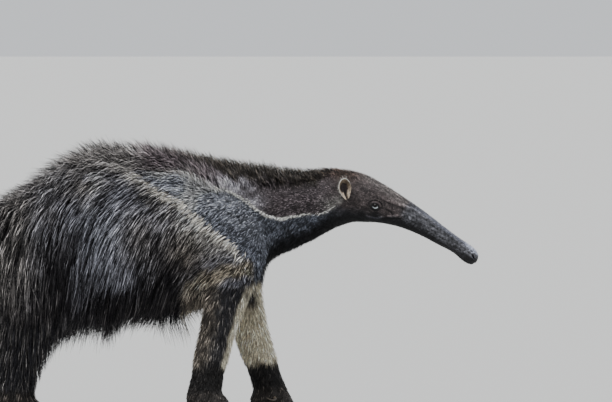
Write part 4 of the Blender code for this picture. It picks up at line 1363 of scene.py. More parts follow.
@dataclass
class EarForm:
    """A cupped ear as rings from the hollow's floor over the rim to the foot: (share of outline, outward)."""

    rings: tuple = (
        (0.16, -0.0010), (0.36, -0.0012), (0.57, 0.0004), (0.74, 0.0042), (0.86, 0.0086), (0.93, 0.0118),
        (0.965, 0.0130), (1.00, 0.0128), (1.015, 0.0108), (0.98, 0.0060), (0.88, 0.0000), (0.72, -0.0080),
    )
    sides: int = 48
    rim_drop: float = 0.0042  # how much lower the fore foot of the rim lies
    lobe_height: float = 0.0042
    slit_depth: float = 0.0045
    step: float = 0.01  # between rings before they get their heights

    def make(self, side: Side) -> bpy.types.Object:
        """The ear of one side, placed.

        Args:
            side: Which side.

        Returns:
            A closed mesh whose foot lies in the head.
        """
        sizes = {"vertices": self.sides, "radius": self.rings[0][0]}
        ear = primitive(bpy.ops.mesh.primitive_circle_add, "ear_form_" + side.word, **sizes)
        with editing("VERT", True):
            for i, ((before, _), (after, _)) in enumerate(zip(self.rings, self.rings[1:])):
                bpy.ops.mesh.extrude_region_move(TRANSFORM_OT_translate={"value": (0.0, 0.0, self.step)})
                factor = after / before
                centre = (0.0, 0.0, (i + 1) * self.step)
                bpy.ops.transform.resize(value=(factor, factor, 1.0), center_override=centre)
            bpy.ops.mesh.edge_face_add()
        points = points_of(ear)
        ring = np.rint(points[:, 2] / self.step).astype(int)
        heights = np.array([height for _, height in self.rings])
        outline = np.hypot(points[:, 0], points[:, 1])
        angle = np.arctan2(points[:, 1], points[:, 0])
        u, v, w = outline * np.cos(angle), outline * np.sin(angle), heights[ring]
        low_front = smoothstep(0.3, -1.0, v * 0.8 - 0.5 * u)
        w = w - self.rim_drop * low_front * smoothstep(0.6, 1.0, outline) * (ring <= 8)
        lobes = smoothstep(0.05, -0.35, v) * bell(np.abs(u - 0.12), 0.38, 0.20)
        w = w + self.lobe_height * lobes * (ring <= 5)
        slit = bell(u, 0.13, 0.13) * smoothstep(0.35, 0.05, v)
        w = w - self.slit_depth * slit * (ring <= 4)
        own = np.stack([u * EAR.half_length * EAR.width_share(v), v * EAR.half_height, w], axis=1)
        place_points(ear, own @ EAR.axes(side) + EAR.centre(side))
        with editing("EDGE", False):
            bpy.ops.mesh.select_non_manifold()
            bpy.ops.mesh.edge_face_add()
            bpy.ops.mesh.select_all(action="SELECT")
            bpy.ops.mesh.normals_make_consistent(inside=False)
        modified(ear, "SUBSURF", levels=1, render_levels=1)
        return ear


@dataclass
class Skin:
    """The bare body under the coat, one closed mesh, fine on the head and coarser behind it."""

    coat_map: CoatMap
    markings: Markings
    body_nodes: tuple = (
        "head", "neck", "trunk", "foreleg_right", "foreleg_left", "hindleg_right", "hindleg_left",
        "forefoot_right", "forefoot_left", "hindfoot_right", "hindfoot_left",
    )
    head_nodes: tuple = ("head", "neck")
    overlap: float = 0.0008
    body_voxel: float = 0.0042
    head_voxel: float = 0.0019
    fine_voxel: float = 0.00125
    root_reach: float = 0.0022  # how near the foot a claw's point counts as its root
    leg_swell: float = 0.0045  # makes up for what smoothing takes off the forelegs
    seam_x: float = 0.6000  # where the fine head meets the body, under the neck's coat
    seam_width: float = 0.0060
    knuckle_share: float = 1.05  # how much wider a knuckle is than its claw's root
    knuckle_more: float = 0.0012
    socket_radius: float = 0.0096  # of the ball that fills an eye's socket
    socket_sink: float = 0.0012
    fine_reach: float = 0.0185  # how far round the eyes the mesh is finer
    fine_nose_x: float = 0.932  # ahead of this it is finer too
    head_share: float = 0.55  # of the head's faces that are kept
    body_share: float = 0.60

    def make(self) -> bpy.types.Object:
        """Builds, colours and smooths the skin."""
        body, head = self.body(), self.head()
        skin = joined([body, head], "skin")
        with editing("EDGE", False):
            bpy.ops.mesh.select_non_manifold()
            bpy.ops.mesh.bridge_edge_loops()
            bpy.ops.mesh.select_all(action="SELECT")
            bpy.ops.mesh.normals_make_consistent(inside=False)
        points, normals = points_of(skin), normals_of(skin)
        colours, gloss = self.markings.skin(points, normals)
        give_colours(skin.data, colours)
        give_values(skin.data, GLOSS, gloss)
        activate(skin)
        bpy.ops.object.shade_smooth()
        return skin

    def body(self) -> bpy.types.Object:
        """Trunk, legs, feet and tail, cut off in the neck."""
        form = copies(self.body_nodes, "body_form", self.overlap)
        remeshed(form, self.body_voxel)
        smoothed(form, 2)
        crisp = points_of(form)
        smoothed(form, 22)
        points = mixed(crisp, points_of(form), smoothstep(0.085, 0.150, crisp[:, 2]))
        place_points(form, points)
        fore = self.coat_map.limb_shares(points)[0] * smoothstep(0.11, 0.15, points[:, 2])
        normals = normals_of(form)
        points -= normals * (self.coat_map.depth(points, normals) - self.leg_swell * fore)[:, None]
        place_points(form, points)
        smoothed(form, 2)
        form = joined([form, TailCore().make(), *self.knuckles()], "body_form")
        remeshed(form, self.body_voxel)
        points = points_of(form)
        smoothed(form, 3)
        root = bell(points[:, 0], -0.130, 0.045) * smoothstep(0.22, 0.26, points[:, 2])
        for _ in range(3):
            before = points_of(form)
            smoothed(form, 12)
            place_points(form, mixed(before, points_of(form), root))
        points = points_of(form)
        flat = smoothstep(0.0040, 0.0015, points[:, 2])
        points[:, 2] = np.maximum(points[:, 2] * (1 - flat), 0.0)
        place_points(form, points)
        self.cut(form, self.seam_x, keep_ahead=False)
        modified(form, "DECIMATE", ratio=self.body_share)
        return form

    def knuckles(self) -> list[bpy.types.Object]:
        """A ball of flesh round the root of each claw."""
        made = []
        for kind, count in Claws.feet:
            for side in Side:
                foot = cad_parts[f"{kind}foot_{side.word}"]
                foot.data.calc_loop_triangles()
                faces = [tuple(t.vertices) for t in foot.data.loop_triangles]
                tree = BVHTree.FromPolygons(placed_points(foot).tolist(), faces)
                for i in range(count):
                    inside = []
                    for point in placed_points(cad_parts[f"claw_{kind}_{side.word}_{i + 1}"]).tolist():
                        place, out, _, _ = tree.find_nearest(point)
                        if (Vector(point) - place).dot(out) < self.root_reach:
                            inside.append(point)
                    if len(inside) < 4:
                        continue
                    root = np.array(inside)
                    centre = root.mean(axis=0)
                    radius = float(np.linalg.norm(root - centre, axis=1).mean())
                    radius = radius * self.knuckle_share + self.knuckle_more
                    sizes = {"segments": 20, "ring_count": 12, "radius": radius}
                    add = bpy.ops.mesh.primitive_uv_sphere_add
                    made.append(primitive(add, "knuckle", **sizes, location=tuple(centre)))
        LOG.info("knuckles: %d", len(made))
        return made

    def head(self) -> bpy.types.Object:
        """Head and ears with lids, folds, nostrils and mouth, cut off in the neck."""
        form = copies(self.head_nodes, "head_form", self.overlap)
        plugs = [self.plug(side) for side in Side]
        form = joined([form, *plugs], "head_form")
        remeshed(form, self.head_voxel)
        smoothed(form, 28)
        points, normals = points_of(form), normals_of(form)
        points -= normals * (self.coat_map.depth(points, normals) - 0.0006)[:, None]
        place_points(form, points)
        smoothed(form, 3)
        form = joined([form, *[EarForm().make(side) for side in Side]], "head_form")
        remeshed(form, self.fine_voxel)
        smoothed(form, 2)
        self.cut(form, self.seam_x + self.seam_width, keep_ahead=True)
        centres = face_centres(form)
        near = np.zeros(len(centres), bool)
        for side in Side:
            forward, upward, _ = EYE.local(centres, side)
            near |= (np.hypot(forward, upward) < self.fine_reach) & side.has(centres)
        near |= centres[:, 0] > self.fine_nose_x
        select_faces(form, near)
        bpy.ops.mesh.subdivide(number_cuts=1)
        bpy.ops.object.mode_set(mode="OBJECT")
        for side in Side:
            self.shape_eye(form, side)
        self.shape_muzzle(form)
        modified(form, "DECIMATE", ratio=self.head_share)
        return form

    def plug(self, side: Side) -> bpy.types.Object:
        """A ball that fills an eye's socket."""
        centre = EYE.centre(side)
        centre[1] -= side.value * self.socket_sink
        sizes = {"segments": 32, "ring_count": 16, "radius": self.socket_radius, "location": tuple(centre)}
        return primitive(bpy.ops.mesh.primitive_uv_sphere_add, "plug", **sizes)

    @staticmethod
    def cut(obj: bpy.types.Object, x: float, keep_ahead: bool) -> None:
        """Cuts a mesh at a plane across the neck and drops one side.

        Args:
            obj: The mesh.
            x: Where the plane is.
            keep_ahead: True keeps what is ahead of it.
        """
        activate(obj)
        drop = {"clear_inner": keep_ahead, "clear_outer": not keep_ahead}
        with editing("FACE", True):
            bpy.ops.mesh.bisect(plane_co=(x, 0.0, 0.0), plane_no=(1.0, 0.0, 0.0), **drop)

    @staticmethod
    def shape_eye(form: bpy.types.Object, side: Side) -> None:
        """Shapes the lids, their creases and the tear duct round one eye.

        Args:
            form: The head.
            side: Which eye.
        """
        points = points_of(form)
        forward, upward, outward = EYE.local(points, side)
        reach = np.hypot(forward, upward)
        here = (reach < EYE.rim[1]) & side.has(points) & (outward > -0.012)
        ring = here & (reach > EYE.rim[0])

        def curved(f: Array, u: Array) -> Array:
            """The terms of a curved plane."""
            return np.stack([np.ones(len(f)), f, u, f**2, f * u, u**2], axis=1)

        plane = np.linalg.lstsq(curved(forward[ring], upward[ring]), outward[ring], rcond=None)[0]
        f, u, w = forward[here], upward[here], outward[here]
        base = curved(f, u) @ plane
        r = np.hypot(f, u)
        shell = EYE.radius + EYE.shell
        ball = np.sqrt(np.maximum(shell**2 - r**2, 0.0)) - 40.0 * np.maximum(r - shell * 0.96, 0.0)
        soft = 0.0022  # how softly the lids run into the head's side
        h = np.clip(0.5 + 0.5 * (ball - base) / soft, 0.0, 1.0)
        lids = base + (ball - base) * h + soft * h * (1.0 - h)
        e = EYE.opening(f, u)
        whole, over, under = np.ones(len(u)), smoothstep(-0.001, 0.003, u), smoothstep(0.001, -0.003, u)
        for height, middle, width, part in (  # folds and creases, from the opening outward
            (0.0006, 1.30, 0.22, whole), (-0.0010, 2.05, 0.17, over), (0.0011, 2.45, 0.28, over),
            (-0.0006, 2.95, 0.20, over), (-0.0006, 1.95, 0.18, under), (0.0004, 2.35, 0.25, under),
        ):
            lids += height * bell(e, middle, width) * part
        lids -= 0.0011 * spot(f, u, (0.0105, -0.0006), (0.0040, 0.0014))
        sunk = smoothstep(1.02, 0.80, e)
        lids = lids * (1 - sunk) + (EYE.radius - 0.0040) * sunk
        points[here, 1] += side.value * (lids - w) * smoothstep(0.0178, 0.0140, r)
        place_points(form, points)

    def shape_muzzle(self, form: bpy.types.Object) -> None:
        """Sinks the nostrils and the slit of the mouth, and raises the folds of cheek and snout."""
        points, normals = points_of(form), normals_of(form)
        x, _, z = points.T
        nostril = self.markings.nostril_share(points)
        push = -0.0040 * smoothstep(0.0, 1.0, nostril)
        off = np.hypot(x - NOSTRIL[0], z - NOSTRIL[1])
        push += 0.0005 * bell(off, 0.0078, 0.0018) * (np.abs(points[:, 1]) > 0.005)
        push -= 0.0015 * self.markings.mouth_share(points)
        for line in FACE_LINES:
            push += line.rise * line.strength(points)
        grain = wobble(points * np.array([0.8, 1.0, 1.2]), 0.0062, 31) + 0.6 * wobble(points, 0.0033, 32)
        push += 0.00020 * grain * smoothstep(0.79, 0.83, x)
        place_points(form, points + normals * push[:, None])


# ---------------------------------------------------------------------------------------------------------
# Coat


class Ground:
    """The skin as the ground that hair grows on: where roots may lie, and its nearest place to any point."""

    def __init__(self, skin: bpy.types.Object) -> None:
        """Reads the skin's triangles.

        Args:
            skin: The finished skin.
        """
        mesh = skin.data
        mesh.calc_loop_triangles()
        corners = np.empty(len(mesh.loop_triangles) * 3, np.int32)
        mesh.loop_triangles.foreach_get("vertices", corners)
        self.triangles = corners.reshape(-1, 3)
        self.points, self.normals = points_of(skin), normals_of(skin)
        a, b, c = (self.points[self.triangles[:, i]] for i in range(3))
        self.centres = (a + b + c) / 3
        self.areas = np.linalg.norm(np.cross(b - a, c - a), axis=1) / 2
        self.facings = unit(self.normals[self.triangles].sum(axis=1))
        self.tree = BVHTree.FromPolygons(self.points.tolist(), self.triangles.tolist())

    def roots(self, density: Array, rng: np.random.Generator) -> tuple[Array, Array]:
        """Scatters roots.

        Args:
            density: Roots for each square metre, one value for each triangle.
            rng: Source of chance.

        Returns:
            Places and directions out of the skin, n by 3 each.
        """
        wanted = self.areas * density
        total = np.concatenate([[0.0], np.cumsum(wanted)])
        count = int(total[-1])
        marks = (np.arange(count) + rng.uniform(0, 1, count)) * (total[-1] / max(count, 1))
        chosen = np.clip(np.searchsorted(total, marks, side="right") - 1, 0, len(wanted) - 1)
        r1, r2 = np.sqrt(rng.uniform(0, 1, count)), rng.uniform(0, 1, count)
        shares = np.stack([1 - r1, r1 * (1 - r2), r1 * r2], axis=1)
        corners = self.triangles[chosen]
        places = np.einsum("ni,nij->nj", shares, self.points[corners])
        return places, unit(np.einsum("ni,nij->nj", shares, self.normals[corners]))

    def nearest(self, places: Array) -> tuple[Array, Array]:
        """The nearest place of the skin to each point.

        Args:
            places: Points, n by 3.

        Returns:
            Places on the skin and smooth directions out of it.
        """
        found = np.empty((len(places), 3))
        index = np.empty(len(places), np.int32)
        find = self.tree.find_nearest
        for i, place in enumerate(places.tolist()):
            co, _, face, _ = find(place)
            found[i] = co
            index[i] = face
        return found, self.facings[index]


@dataclass
class CoatPiece:
    """One piece of the coat: where it grows and how its tufts are made."""

    name: str
    seed: int
    density: float  # tufts for each square metre
    rings: int  # rings of each tuft before its tip
    growth: Growth
    width: tuple  # least and most width of a tuft
    clump: int  # tufts that draw together
    clump_pull: float
    slot: str = "coat"
    droop: float = 0.0
    wave: float = 0.08
    thickness: float = 0.45
    cling: float = 0.5
    speckle: float = 0.06  # how much a clump's share of light hairs varies


def pair(part: str, seeds: tuple, *sizes: object, **more: object) -> list[CoatPiece]:
    """The right and the left piece of a part of the coat, alike but for their seeds."""
    return [CoatPiece(f"coat_{part}_{side.word}", seed, *sizes, **more) for side, seed in zip(Side, seeds)]


@dataclass
class Rooted:
    """The roots of many tufts and how their hair runs from there."""

    roots: Array  # places on the skin, n by 3
    normals: Array  # directions out of it, n by 3
    lie: Array  # the ways the hair runs, n by 3
    length: Array  # how long each tuft is
    height: Array  # how high its tip stands over the skin
    tail: Array  # how much it belongs to the tail


@dataclass
class Tufts:
    """Paths, widths and colours of many tufts, ready to become a mesh."""

    paths: Array  # n by rings + 1 by 3
    across: Array  # n by 3, the way each tuft is wide
    widths: Array  # n
    colours: Array  # n by rings + 1 by 3
    unwrap: Array  # n by 2
    thickness: float
    edges: Array  # n by 3, how bright each edge of the tuft is


class Coat:
    """The whole coat, in pieces that share one way of growing."""

    pieces = (
        CoatPiece("coat_face", 101, 540000, 1, SHORT, (0.0005, 0.0010), 5, 0.22, "face", speckle=0.72),
        CoatPiece("coat_neck", 102, 262000, 2, SHORT, (0.0008, 0.0013), 2, 0.20, speckle=0.34),
        *pair("shoulder", (103, 104), 190000, 2, SHORT, (0.0008, 0.0014), 2, 0.20, speckle=0.24),
        *pair("foreleg", (105, 114), 50000, 2, SHORT, (0.0012, 0.0021), 3, 0.25, "pale_coat", speckle=0.20),
        *pair("flank", (106, 107), 86000, 3, LONG, (0.0009, 0.0015), 2, 0.18, droop=0.10, speckle=0.16),
        *pair("rump", (108, 109), 84000, 3, LONG, (0.0009, 0.0016), 2, 0.20, droop=0.16, speckle=0.18),
        *pair("hindleg", (110, 115), 22000, 3, LONG, (0.0012, 0.0022), 3, 0.25, droop=0.10, speckle=0.15),
        *pair(
            "tail", (111, 112), 58000, 6, LONG, (0.0014, 0.0027), 5, 0.30, droop=0.30, wave=0.10, speckle=0.15
        ),
        CoatPiece("coat_mane", 113, 150000, 3, SHORT, (0.0009, 0.0018), 4, 0.45, wave=0.10, speckle=0.24),
        CoatPiece("coat_line", 116, 660000, 3, CREST, (0.0009, 0.0015), 3, 0.20, speckle=0.20),
        CoatPiece("coat_fringe", 117, 120000, 3, CREST, (0.0011, 0.0019), 3, 0.30, speckle=0.12),
    )
    rump_x, tail_x, shoulder_x, neck_x, face_x = 0.10, -0.145, 0.36, 0.53, 0.66  # where pieces meet
    widest = 0.152  # half of the body's width with its coat
    mane_parting = 0.5515  # where the mane's roots leave a gap
    mane_ends = (-0.06, 0.672)
    crest_end = 0.665  # no crest grows ahead of this
    line_width = 0.0014  # half of the pale line's
    crest_length = {"coat_line": 0.0085, "coat_fringe": 0.022}
    crest_layer = {"coat_line": 1.14, "coat_fringe": 1.00}

    def __init__(
        self,
        ground: Ground,
        coat_map: CoatMap,
        markings: Markings,
        finishes: dict[Growth, bpy.types.Material],
    ) -> None:
        """Divides the skin among the pieces.

        Args:
            ground: The skin that the coat grows on.
            coat_map: Depth, lie and length.
            markings: Colours.
            finishes: The material of each kind of hair.
        """
        self.ground, self.coat_map, self.markings, self.finishes = ground, coat_map, markings, finishes
        self.owner = self.owners(ground.centres, ground.facings)

    def owners(self, points: Array, normals: Array) -> Array:
        """The name of the piece that each place belongs to."""
        x, y, _ = points.T
        fore, hind = self.coat_map.limb_shares(points)
        names = np.full(len(points), "", dtype="<U20")

        def claim(part: str, where: Array) -> None:
            """Gives places to the right and the left piece of a part."""
            for side in Side:
                names[where & ((y > 0) == (side is Side.LEFT))] = f"coat_{part}_{side.word}"

        claim("flank", x >= self.rump_x)
        claim("rump", x < self.rump_x)
        claim("shoulder", x > self.shoulder_x)
        names[x > self.neck_x] = "coat_neck"
        names[x > self.face_x] = "coat_face"
        width = np.interp(x, MANE_WIDTH_X, MANE_WIDTH)
        low, high = self.mane_ends
        names[(normals[:, 2] > 0.45) & (np.abs(y) < width) & (x > low) & (x < high)] = "coat_mane"
        claim("tail", (x < self.tail_x) & (hind < 0.5))
        claim("foreleg", (fore > 0.5) & (x > BELLY_X))
        claim("hindleg", (hind > 0.5) & (x <= BELLY_X))
        return names

    def density(self, piece: CoatPiece) -> Array:
        """Roots for each square metre on each triangle for one piece."""
        points, facings = self.ground.centres, self.ground.facings
        x, _, z = points.T
        own = (self.owner == piece.name) * piece.density
        if piece.growth is CREST:
            outer = points + facings * (0.9 * self.coat_map.depth(points, facings))[:, None]
            outer = outer + self.coat_map.lie(points, facings) * (0.5 * self.crest_length[piece.name])
            line = UPPER_LINE if piece.name == "coat_line" else PALE_EDGE
            off, along = line_distance(outer[:, 0], outer[:, 2], line)
            own = piece.density * (facings[:, 2] < 0.8) * (x < self.crest_end)
            if piece.name == "coat_line":
                share = bell(off, 0.0008, self.line_width) * smoothstep(0.92, 0.66, along)
                own = own * share * (0.15 + 0.85 * smoothstep(0.14, 0.30, along))
            else:
                share = smoothstep(-0.001, -0.004, off) * smoothstep(-0.020, -0.007, off)
                own = own * share * smoothstep(0.0, 0.14, along) * smoothstep(0.98, 0.55, along)
        if piece.name == "coat_face":
            own = own * np.interp(x, (0.66, 0.70, 0.80, 0.90, 0.955), (0.75, 1.0, 1.15, 0.8, 0.45))
            for side in Side:
                forward, upward, _ = EYE.local(points, side)
                e = EYE.opening(forward, upward)
                own = own * np.where((e < 1.9) & side.has(points), 0.0, 1.0)
                u, v, w = EAR.local(points, side)
                cup = (np.hypot(u, v) < 0.95) & (w > -0.004) & (w < 0.012) & side.has(points)
                own = own * np.where(cup & (facings @ EAR.axes(side)[2] > -0.3), 0.0, 1.0)
            own = own * np.where(self.markings.nostril_share(points) > 0, 0.0, 1.0)
        if "leg" in piece.name:
            own = own * np.interp(z, (0.0, 0.03, 0.10, 0.16), (3.4, 3.0, 2.0, 1.1))
        if piece.name == "coat_mane":
            own = own * (1 - 0.95 * bell(x, self.mane_parting, 0.0036))
        sole = (facings[:, 2] < -0.6) & (z < 0.012)
        return own * np.where(sole, 0.0, 1.0)

    def make(self) -> list[bpy.types.Object]:
        """Grows every piece."""
        made = []
        for piece in self.pieces:
            rng = np.random.default_rng(piece.seed)
            tufts = self.grow(piece, rng)
            obj = self.mesh_of(piece, tufts)
            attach(obj, BODY)
            triangles = len(tufts.paths) * (6 * piece.rings - 2)
            LOG.info("%s: %d tufts, %d triangles", piece.name, len(tufts.paths), triangles)
            made.append(obj)
        return made

    def grow(self, piece: CoatPiece, rng: np.random.Generator) -> Tufts:
        """Grows the tufts of one piece.

        Args:
            piece: What to grow.
            rng: Source of chance.

        Returns:
            The tufts.
        """
        roots, normals = self.ground.roots(self.density(piece), rng)
        count = len(roots)
        lie = self.coat_map.lie(roots, normals)
        turn = rng.normal(0, 0.20, count) + 0.15 * wobble(roots, 0.025, piece.seed + 500)
        lie = unit(lie * np.cos(turn)[:, None] + np.cross(normals, lie) * np.sin(turn)[:, None])
        layer = rng.uniform(0.30, 1.10, count) + 0.16 * smoothstep(0.3, 0.8, normals[:, 2])
        tail = self.coat_map.tail_share(roots)
        depth = self.coat_map.depth(roots, normals) * (1.0 + 0.18 * smoothstep(0.3, 0.8, normals[:, 2]))
        depth = depth + (np.interp(roots[:, 0], TAIL_X, TAIL_DEPTH) - depth) * tail
        length = self.coat_map.length(roots, normals) * rng.uniform(0.72, 1.18, count)
        if piece.name == "coat_mane":
            layer = 0.30 + 0.70 * layer + 0.26 * bell(roots[:, 0], 0.550, 0.045)
        if piece.growth is CREST:
            length = self.crest_length[piece.name] * rng.uniform(0.72, 1.18, count)
            layer = layer * 0.2 + self.crest_layer[piece.name]
        grown = {CREST: self.crest_paths, SHORT: self.short_paths, LONG: self.long_paths}
        paths = grown[piece.growth](piece, Rooted(roots, normals, lie, length, depth * layer, tail), rng)
        paths = self.waved(piece, paths, normals, length, rng)
        for _ in range(1 if piece.rings < 6 else 3):
            paths[:, 1:-1] = 0.5 * paths[:, 1:-1] + 0.25 * (paths[:, :-2] + paths[:, 2:])
        group = self.groups(roots, max(count // piece.clump, 1), rng)
        paths = self.clumped(piece, paths, group)
        paths[:, :, 2] = np.maximum(paths[:, :, 2], LOWEST)
        over = np.abs(paths[:, :, 1]) - self.widest
        paths[:, :, 1] -= np.sign(paths[:, :, 1]) * np.maximum(over, 0.0) * 0.8
        middle = paths[:, (piece.rings + 1) // 2] if piece.rings > 1 else paths.mean(axis=1)
        colours = self.colours(piece, roots, mixed(roots, middle, np.full(count, 0.8)), normals, group, rng)
        across = unit(np.cross(paths[:, -1] - paths[:, 0], normals))
        twist = rng.normal(0, 0.45, count)
        along = unit(paths[:, -1] - paths[:, 0])
        across = unit(across * np.cos(twist)[:, None] + np.cross(along, across) * np.sin(twist)[:, None])
        widths = np.minimum(rng.uniform(*piece.width, count), 0.15 * length)
        edges = rng.uniform(0.70, 1.30, (count, 3))
        return Tufts(paths, across, widths, colours, self.unwrapped(piece, roots), piece.thickness, edges)

    @staticmethod
    def short_paths(piece: CoatPiece, at: Rooted, _: np.random.Generator) -> Array:
        """Paths of short hair, which leaves the skin at a lift that fits the coat's depth and bends over.

        Args:
            piece: What grows.
            at: Where it grows.

        Returns:
            Paths, n by rings + 1 by 3.
        """
        lift = np.arcsin(np.clip(1.08 * at.height / at.length, 0.06, 0.97))
        place = at.roots - at.normals * np.minimum(ROOT_DEPTH, 0.15 * at.length)[:, None]
        paths = [place]
        for i in range(piece.rings):
            t = (i + 0.5) / piece.rings
            angle = lift * (1.35 - 0.70 * t)
            way = at.lie * np.cos(angle)[:, None] + at.normals * np.sin(angle)[:, None]
            way[:, 2] -= piece.droop * t
            place = place + unit(way) * (at.length / piece.rings)[:, None]
            paths.append(place)
        return np.stack(paths, axis=1)

    @staticmethod
    def crest_paths(_: CoatPiece, at: Rooted, __: np.random.Generator) -> Array:
        """Paths that rise through the coat and bend over on top of it.

        Args:
            at: Where they grow. Their length is how far they reach along the lie.

        Returns:
            Paths of four places, n by 4 by 3.
        """
        stations = ((0.0, 0.0), (0.60, 0.10), (0.90, 0.50), (1.0, 1.0))
        places = [
            at.roots + at.normals * (at.height * up)[:, None] + at.lie * (at.length * ahead)[:, None]
            for up, ahead in stations
        ]
        places[0] = places[0] - at.normals * ROOT_DEPTH
        return np.stack(places, axis=1)

    def long_paths(self, piece: CoatPiece, at: Rooted, rng: np.random.Generator) -> Array:
        """Paths of long hair, which keeps its height over the skin and hangs free where the skin turns away.

        Args:
            piece: What grows.
            at: Where it grows. Its height is the one that each tuft keeps.
            rng: Source of chance.

        Returns:
            Paths, n by rings + 1 by 3.
        """
        tail, count = at.tail, len(at.roots)
        lift = np.arcsin(np.clip(2.4 * at.height / at.length, 0.06, 0.85))
        lift = lift + tail * rng.uniform(-0.20, 0.30, count)
        stray = np.array([0.0, 1.0, 0.0]) * (tail * rng.normal(0, 0.30, count))[:, None]
        way = unit(unit(at.lie + stray) * np.cos(lift)[:, None] + at.normals * np.sin(lift)[:, None])
        place = at.roots - at.normals * LOWEST
        paths = [place]
        step = (at.length / piece.rings)[:, None]
        droop = piece.droop + (0.30 - piece.droop) * tail
        droop = droop * rng.uniform(0.6, 1.4, count)
        for i in range(piece.rings):
            t = (i + 1) / piece.rings
            place = place + way * step
            ground, out = self.ground.nearest(place)
            over = np.sum((place - ground) * out, axis=1)
            rise = smoothstep(0.0, 0.45, np.array(t)) * at.height
            hold = piece.cling * (1 - tail) * smoothstep(-0.75, -0.15, out[:, 2])
            pushed = 0.9 * (1 - 0.8 * tail)
            kept = over + (rise - over) * np.where(over < rise, pushed, hold)
            place = place + out * (np.maximum(kept, LOWEST) - over)[:, None]
            low = np.interp(place[:, 0], TAIL_FLOOR_X, TAIL_FLOOR_Z) + 0.004
            low = low + 0.012 * rng.uniform(0, 1, count)
            place[:, 2] = np.where(tail > 0.5, np.maximum(place[:, 2], low), place[:, 2])
            paths.append(place)
            way = unit(place - paths[-2])
            steer = self.coat_map.lie(place, out)
            loose = smoothstep(0.010, 0.045, over)
            follow = (0.52 * (1 - loose) * (1 - 0.75 * tail))[:, None]
            fall = (droop * (0.6 + 1.2 * loose))[:, None]
            way = unit(way * 0.50 + steer * follow + np.array([[0.0, 0.0, -1.0]]) * fall)
        return np.stack(paths, axis=1)

    @staticmethod
    def waved(
        piece: CoatPiece, paths: Array, normals: Array, length: Array, rng: np.random.Generator
    ) -> Array:
        """Paths with a gentle wave across and a little curl out of the lie."""
        steps = np.linspace(0.0, 1.0, piece.rings + 1)
        across = unit(np.cross(paths[:, -1] - paths[:, 0], normals))
        phase = rng.uniform(0, 2 * math.pi, len(paths))[:, None]
        turns = rng.uniform(0.3, 0.9, len(paths))[:, None]
        size = (piece.wave * rng.uniform(0.2, 1.0, len(paths)) * length * 0.35)[:, None]
        swing = (np.sin(phase + 2 * math.pi * turns * steps[None]) - np.sin(phase)) * size * steps[None]
        return paths + across[:, None, :] * swing[:, :, None]

    @staticmethod
    def groups(roots: Array, count: int, rng: np.random.Generator) -> Array:
        """Gives each tuft the nearest of some chosen tufts.

        Args:
            roots: Places of all tufts.
            count: How many are chosen.
            rng: Source of chance.

        Returns:
            For each tuft, the number of the chosen tuft.
        """
        chosen = rng.choice(len(roots), size=min(count, len(roots)), replace=False)
        cell = 0.05
        nearest = np.zeros(len(roots), np.int64)
        centres = roots[chosen]
        key = np.floor(roots[:, 0] / cell).astype(int)
        for k in np.unique(key):
            mine = np.nonzero(key == k)[0]
            close = np.nonzero(np.abs(centres[:, 0] - (k + 0.5) * cell) < cell)[0]
            if len(close) == 0:
                close = np.arange(len(centres))
            for start in range(0, len(mine), 2000):
                rows = mine[start : start + 2000]
                gap = np.sum((roots[rows, None] - centres[None, close]) ** 2, axis=2)
                nearest[rows] = chosen[close[np.argmin(gap, axis=1)]]
        return nearest

    @staticmethod
    def clumped(piece: CoatPiece, paths: Array, group: Array) -> Array:
        """Paths drawn towards the path of their group's chosen tuft, more towards the tips."""
        steps = np.linspace(0.0, 1.0, piece.rings + 1)
        pull = piece.clump_pull * steps**1.4
        return paths + (paths[group] - paths) * pull[None, :, None]

    def colours(
        self,
        piece: CoatPiece,
        roots: Array,
        places: Array,
        normals: Array,
        group: Array,
        rng: np.random.Generator,
    ) -> Array:
        """Colours along each tuft: dark at the root, its own tone above, banded as agouti hair is.

        Args:
            piece: What grows.
            roots: Places of the roots.
            places: Places whose markings the tufts show.
            normals: Directions out of the skin.
            group: The chosen tuft of each tuft's clump.
            rng: Source of chance.

        Returns:
            Colours, n by rings + 1 by 3.
        """
        count = len(roots)
        rows = self.markings.fur(places, normals)
        if piece.name == "coat_line":
            rows[:] = self.markings.line.row()
        if piece.name == "coat_fringe":
            rows[:] = self.markings.fringe.row()
        speckle = piece.speckle * (1 - 0.6 * bell(places[:, 0], 0.655, 0.03))
        share = np.clip(rows[:, 6] + speckle * rng.normal(0, 1, count)[group], 0.02, 0.98)
        light = smoothstep(-0.12, 0.12, share - rng.uniform(0, 1, count))
        strength = rng.uniform(0.55, 1.40, count) * (1 + 1.2 * piece.speckle * rng.normal(0, 1, count)[group])
        own = mixed(rows[:, :3], rows[:, 3:6], light) * np.clip(strength, 0.3, 1.7)[:, None]
        own = self.ear_hair(roots, own)
        steps = np.linspace(0.0, 1.0, piece.rings + 1)
        root_shade = 0.50 + 0.50 * smoothstep(0.0, 0.45, steps)
        tone = own[:, None, :] * root_shade[None, :, None]
        band = rng.uniform(0.35, 0.9, count)[:, None]
        glint = (1 - light[:, None]) * rng.uniform(0, 0.6, count)[:, None] * share[:, None]
        banded = bell(steps[None], band, 0.20) * glint
        return tone + (rows[:, None, 3:6] * 0.8 - tone) * banded[:, :, None]

    def ear_hair(self, roots: Array, own: Array) -> Array:
        """Hair colours with the pale hairs of the ears' rims laid over them."""
        for side in Side:
            u, v, w = EAR.local(roots, side)
            s = np.hypot(u, v)
            near = side.has(roots) & (s < 1.2) & (w > 0.0015)
            own = laid(own, self.markings.ear_back, near * 0.7)
            rim = smoothstep(0.945, 0.975, s) * smoothstep(0.0095, 0.0120, w) * near
            # Painted light: the pale rim hair brighter along the top and front of the rim.
            rim = rim * (0.25 + 0.75 * smoothstep(-0.5, 0.5, v - 0.5 * u))
            own = laid(own, self.markings.ear_rim, rim)
        return own

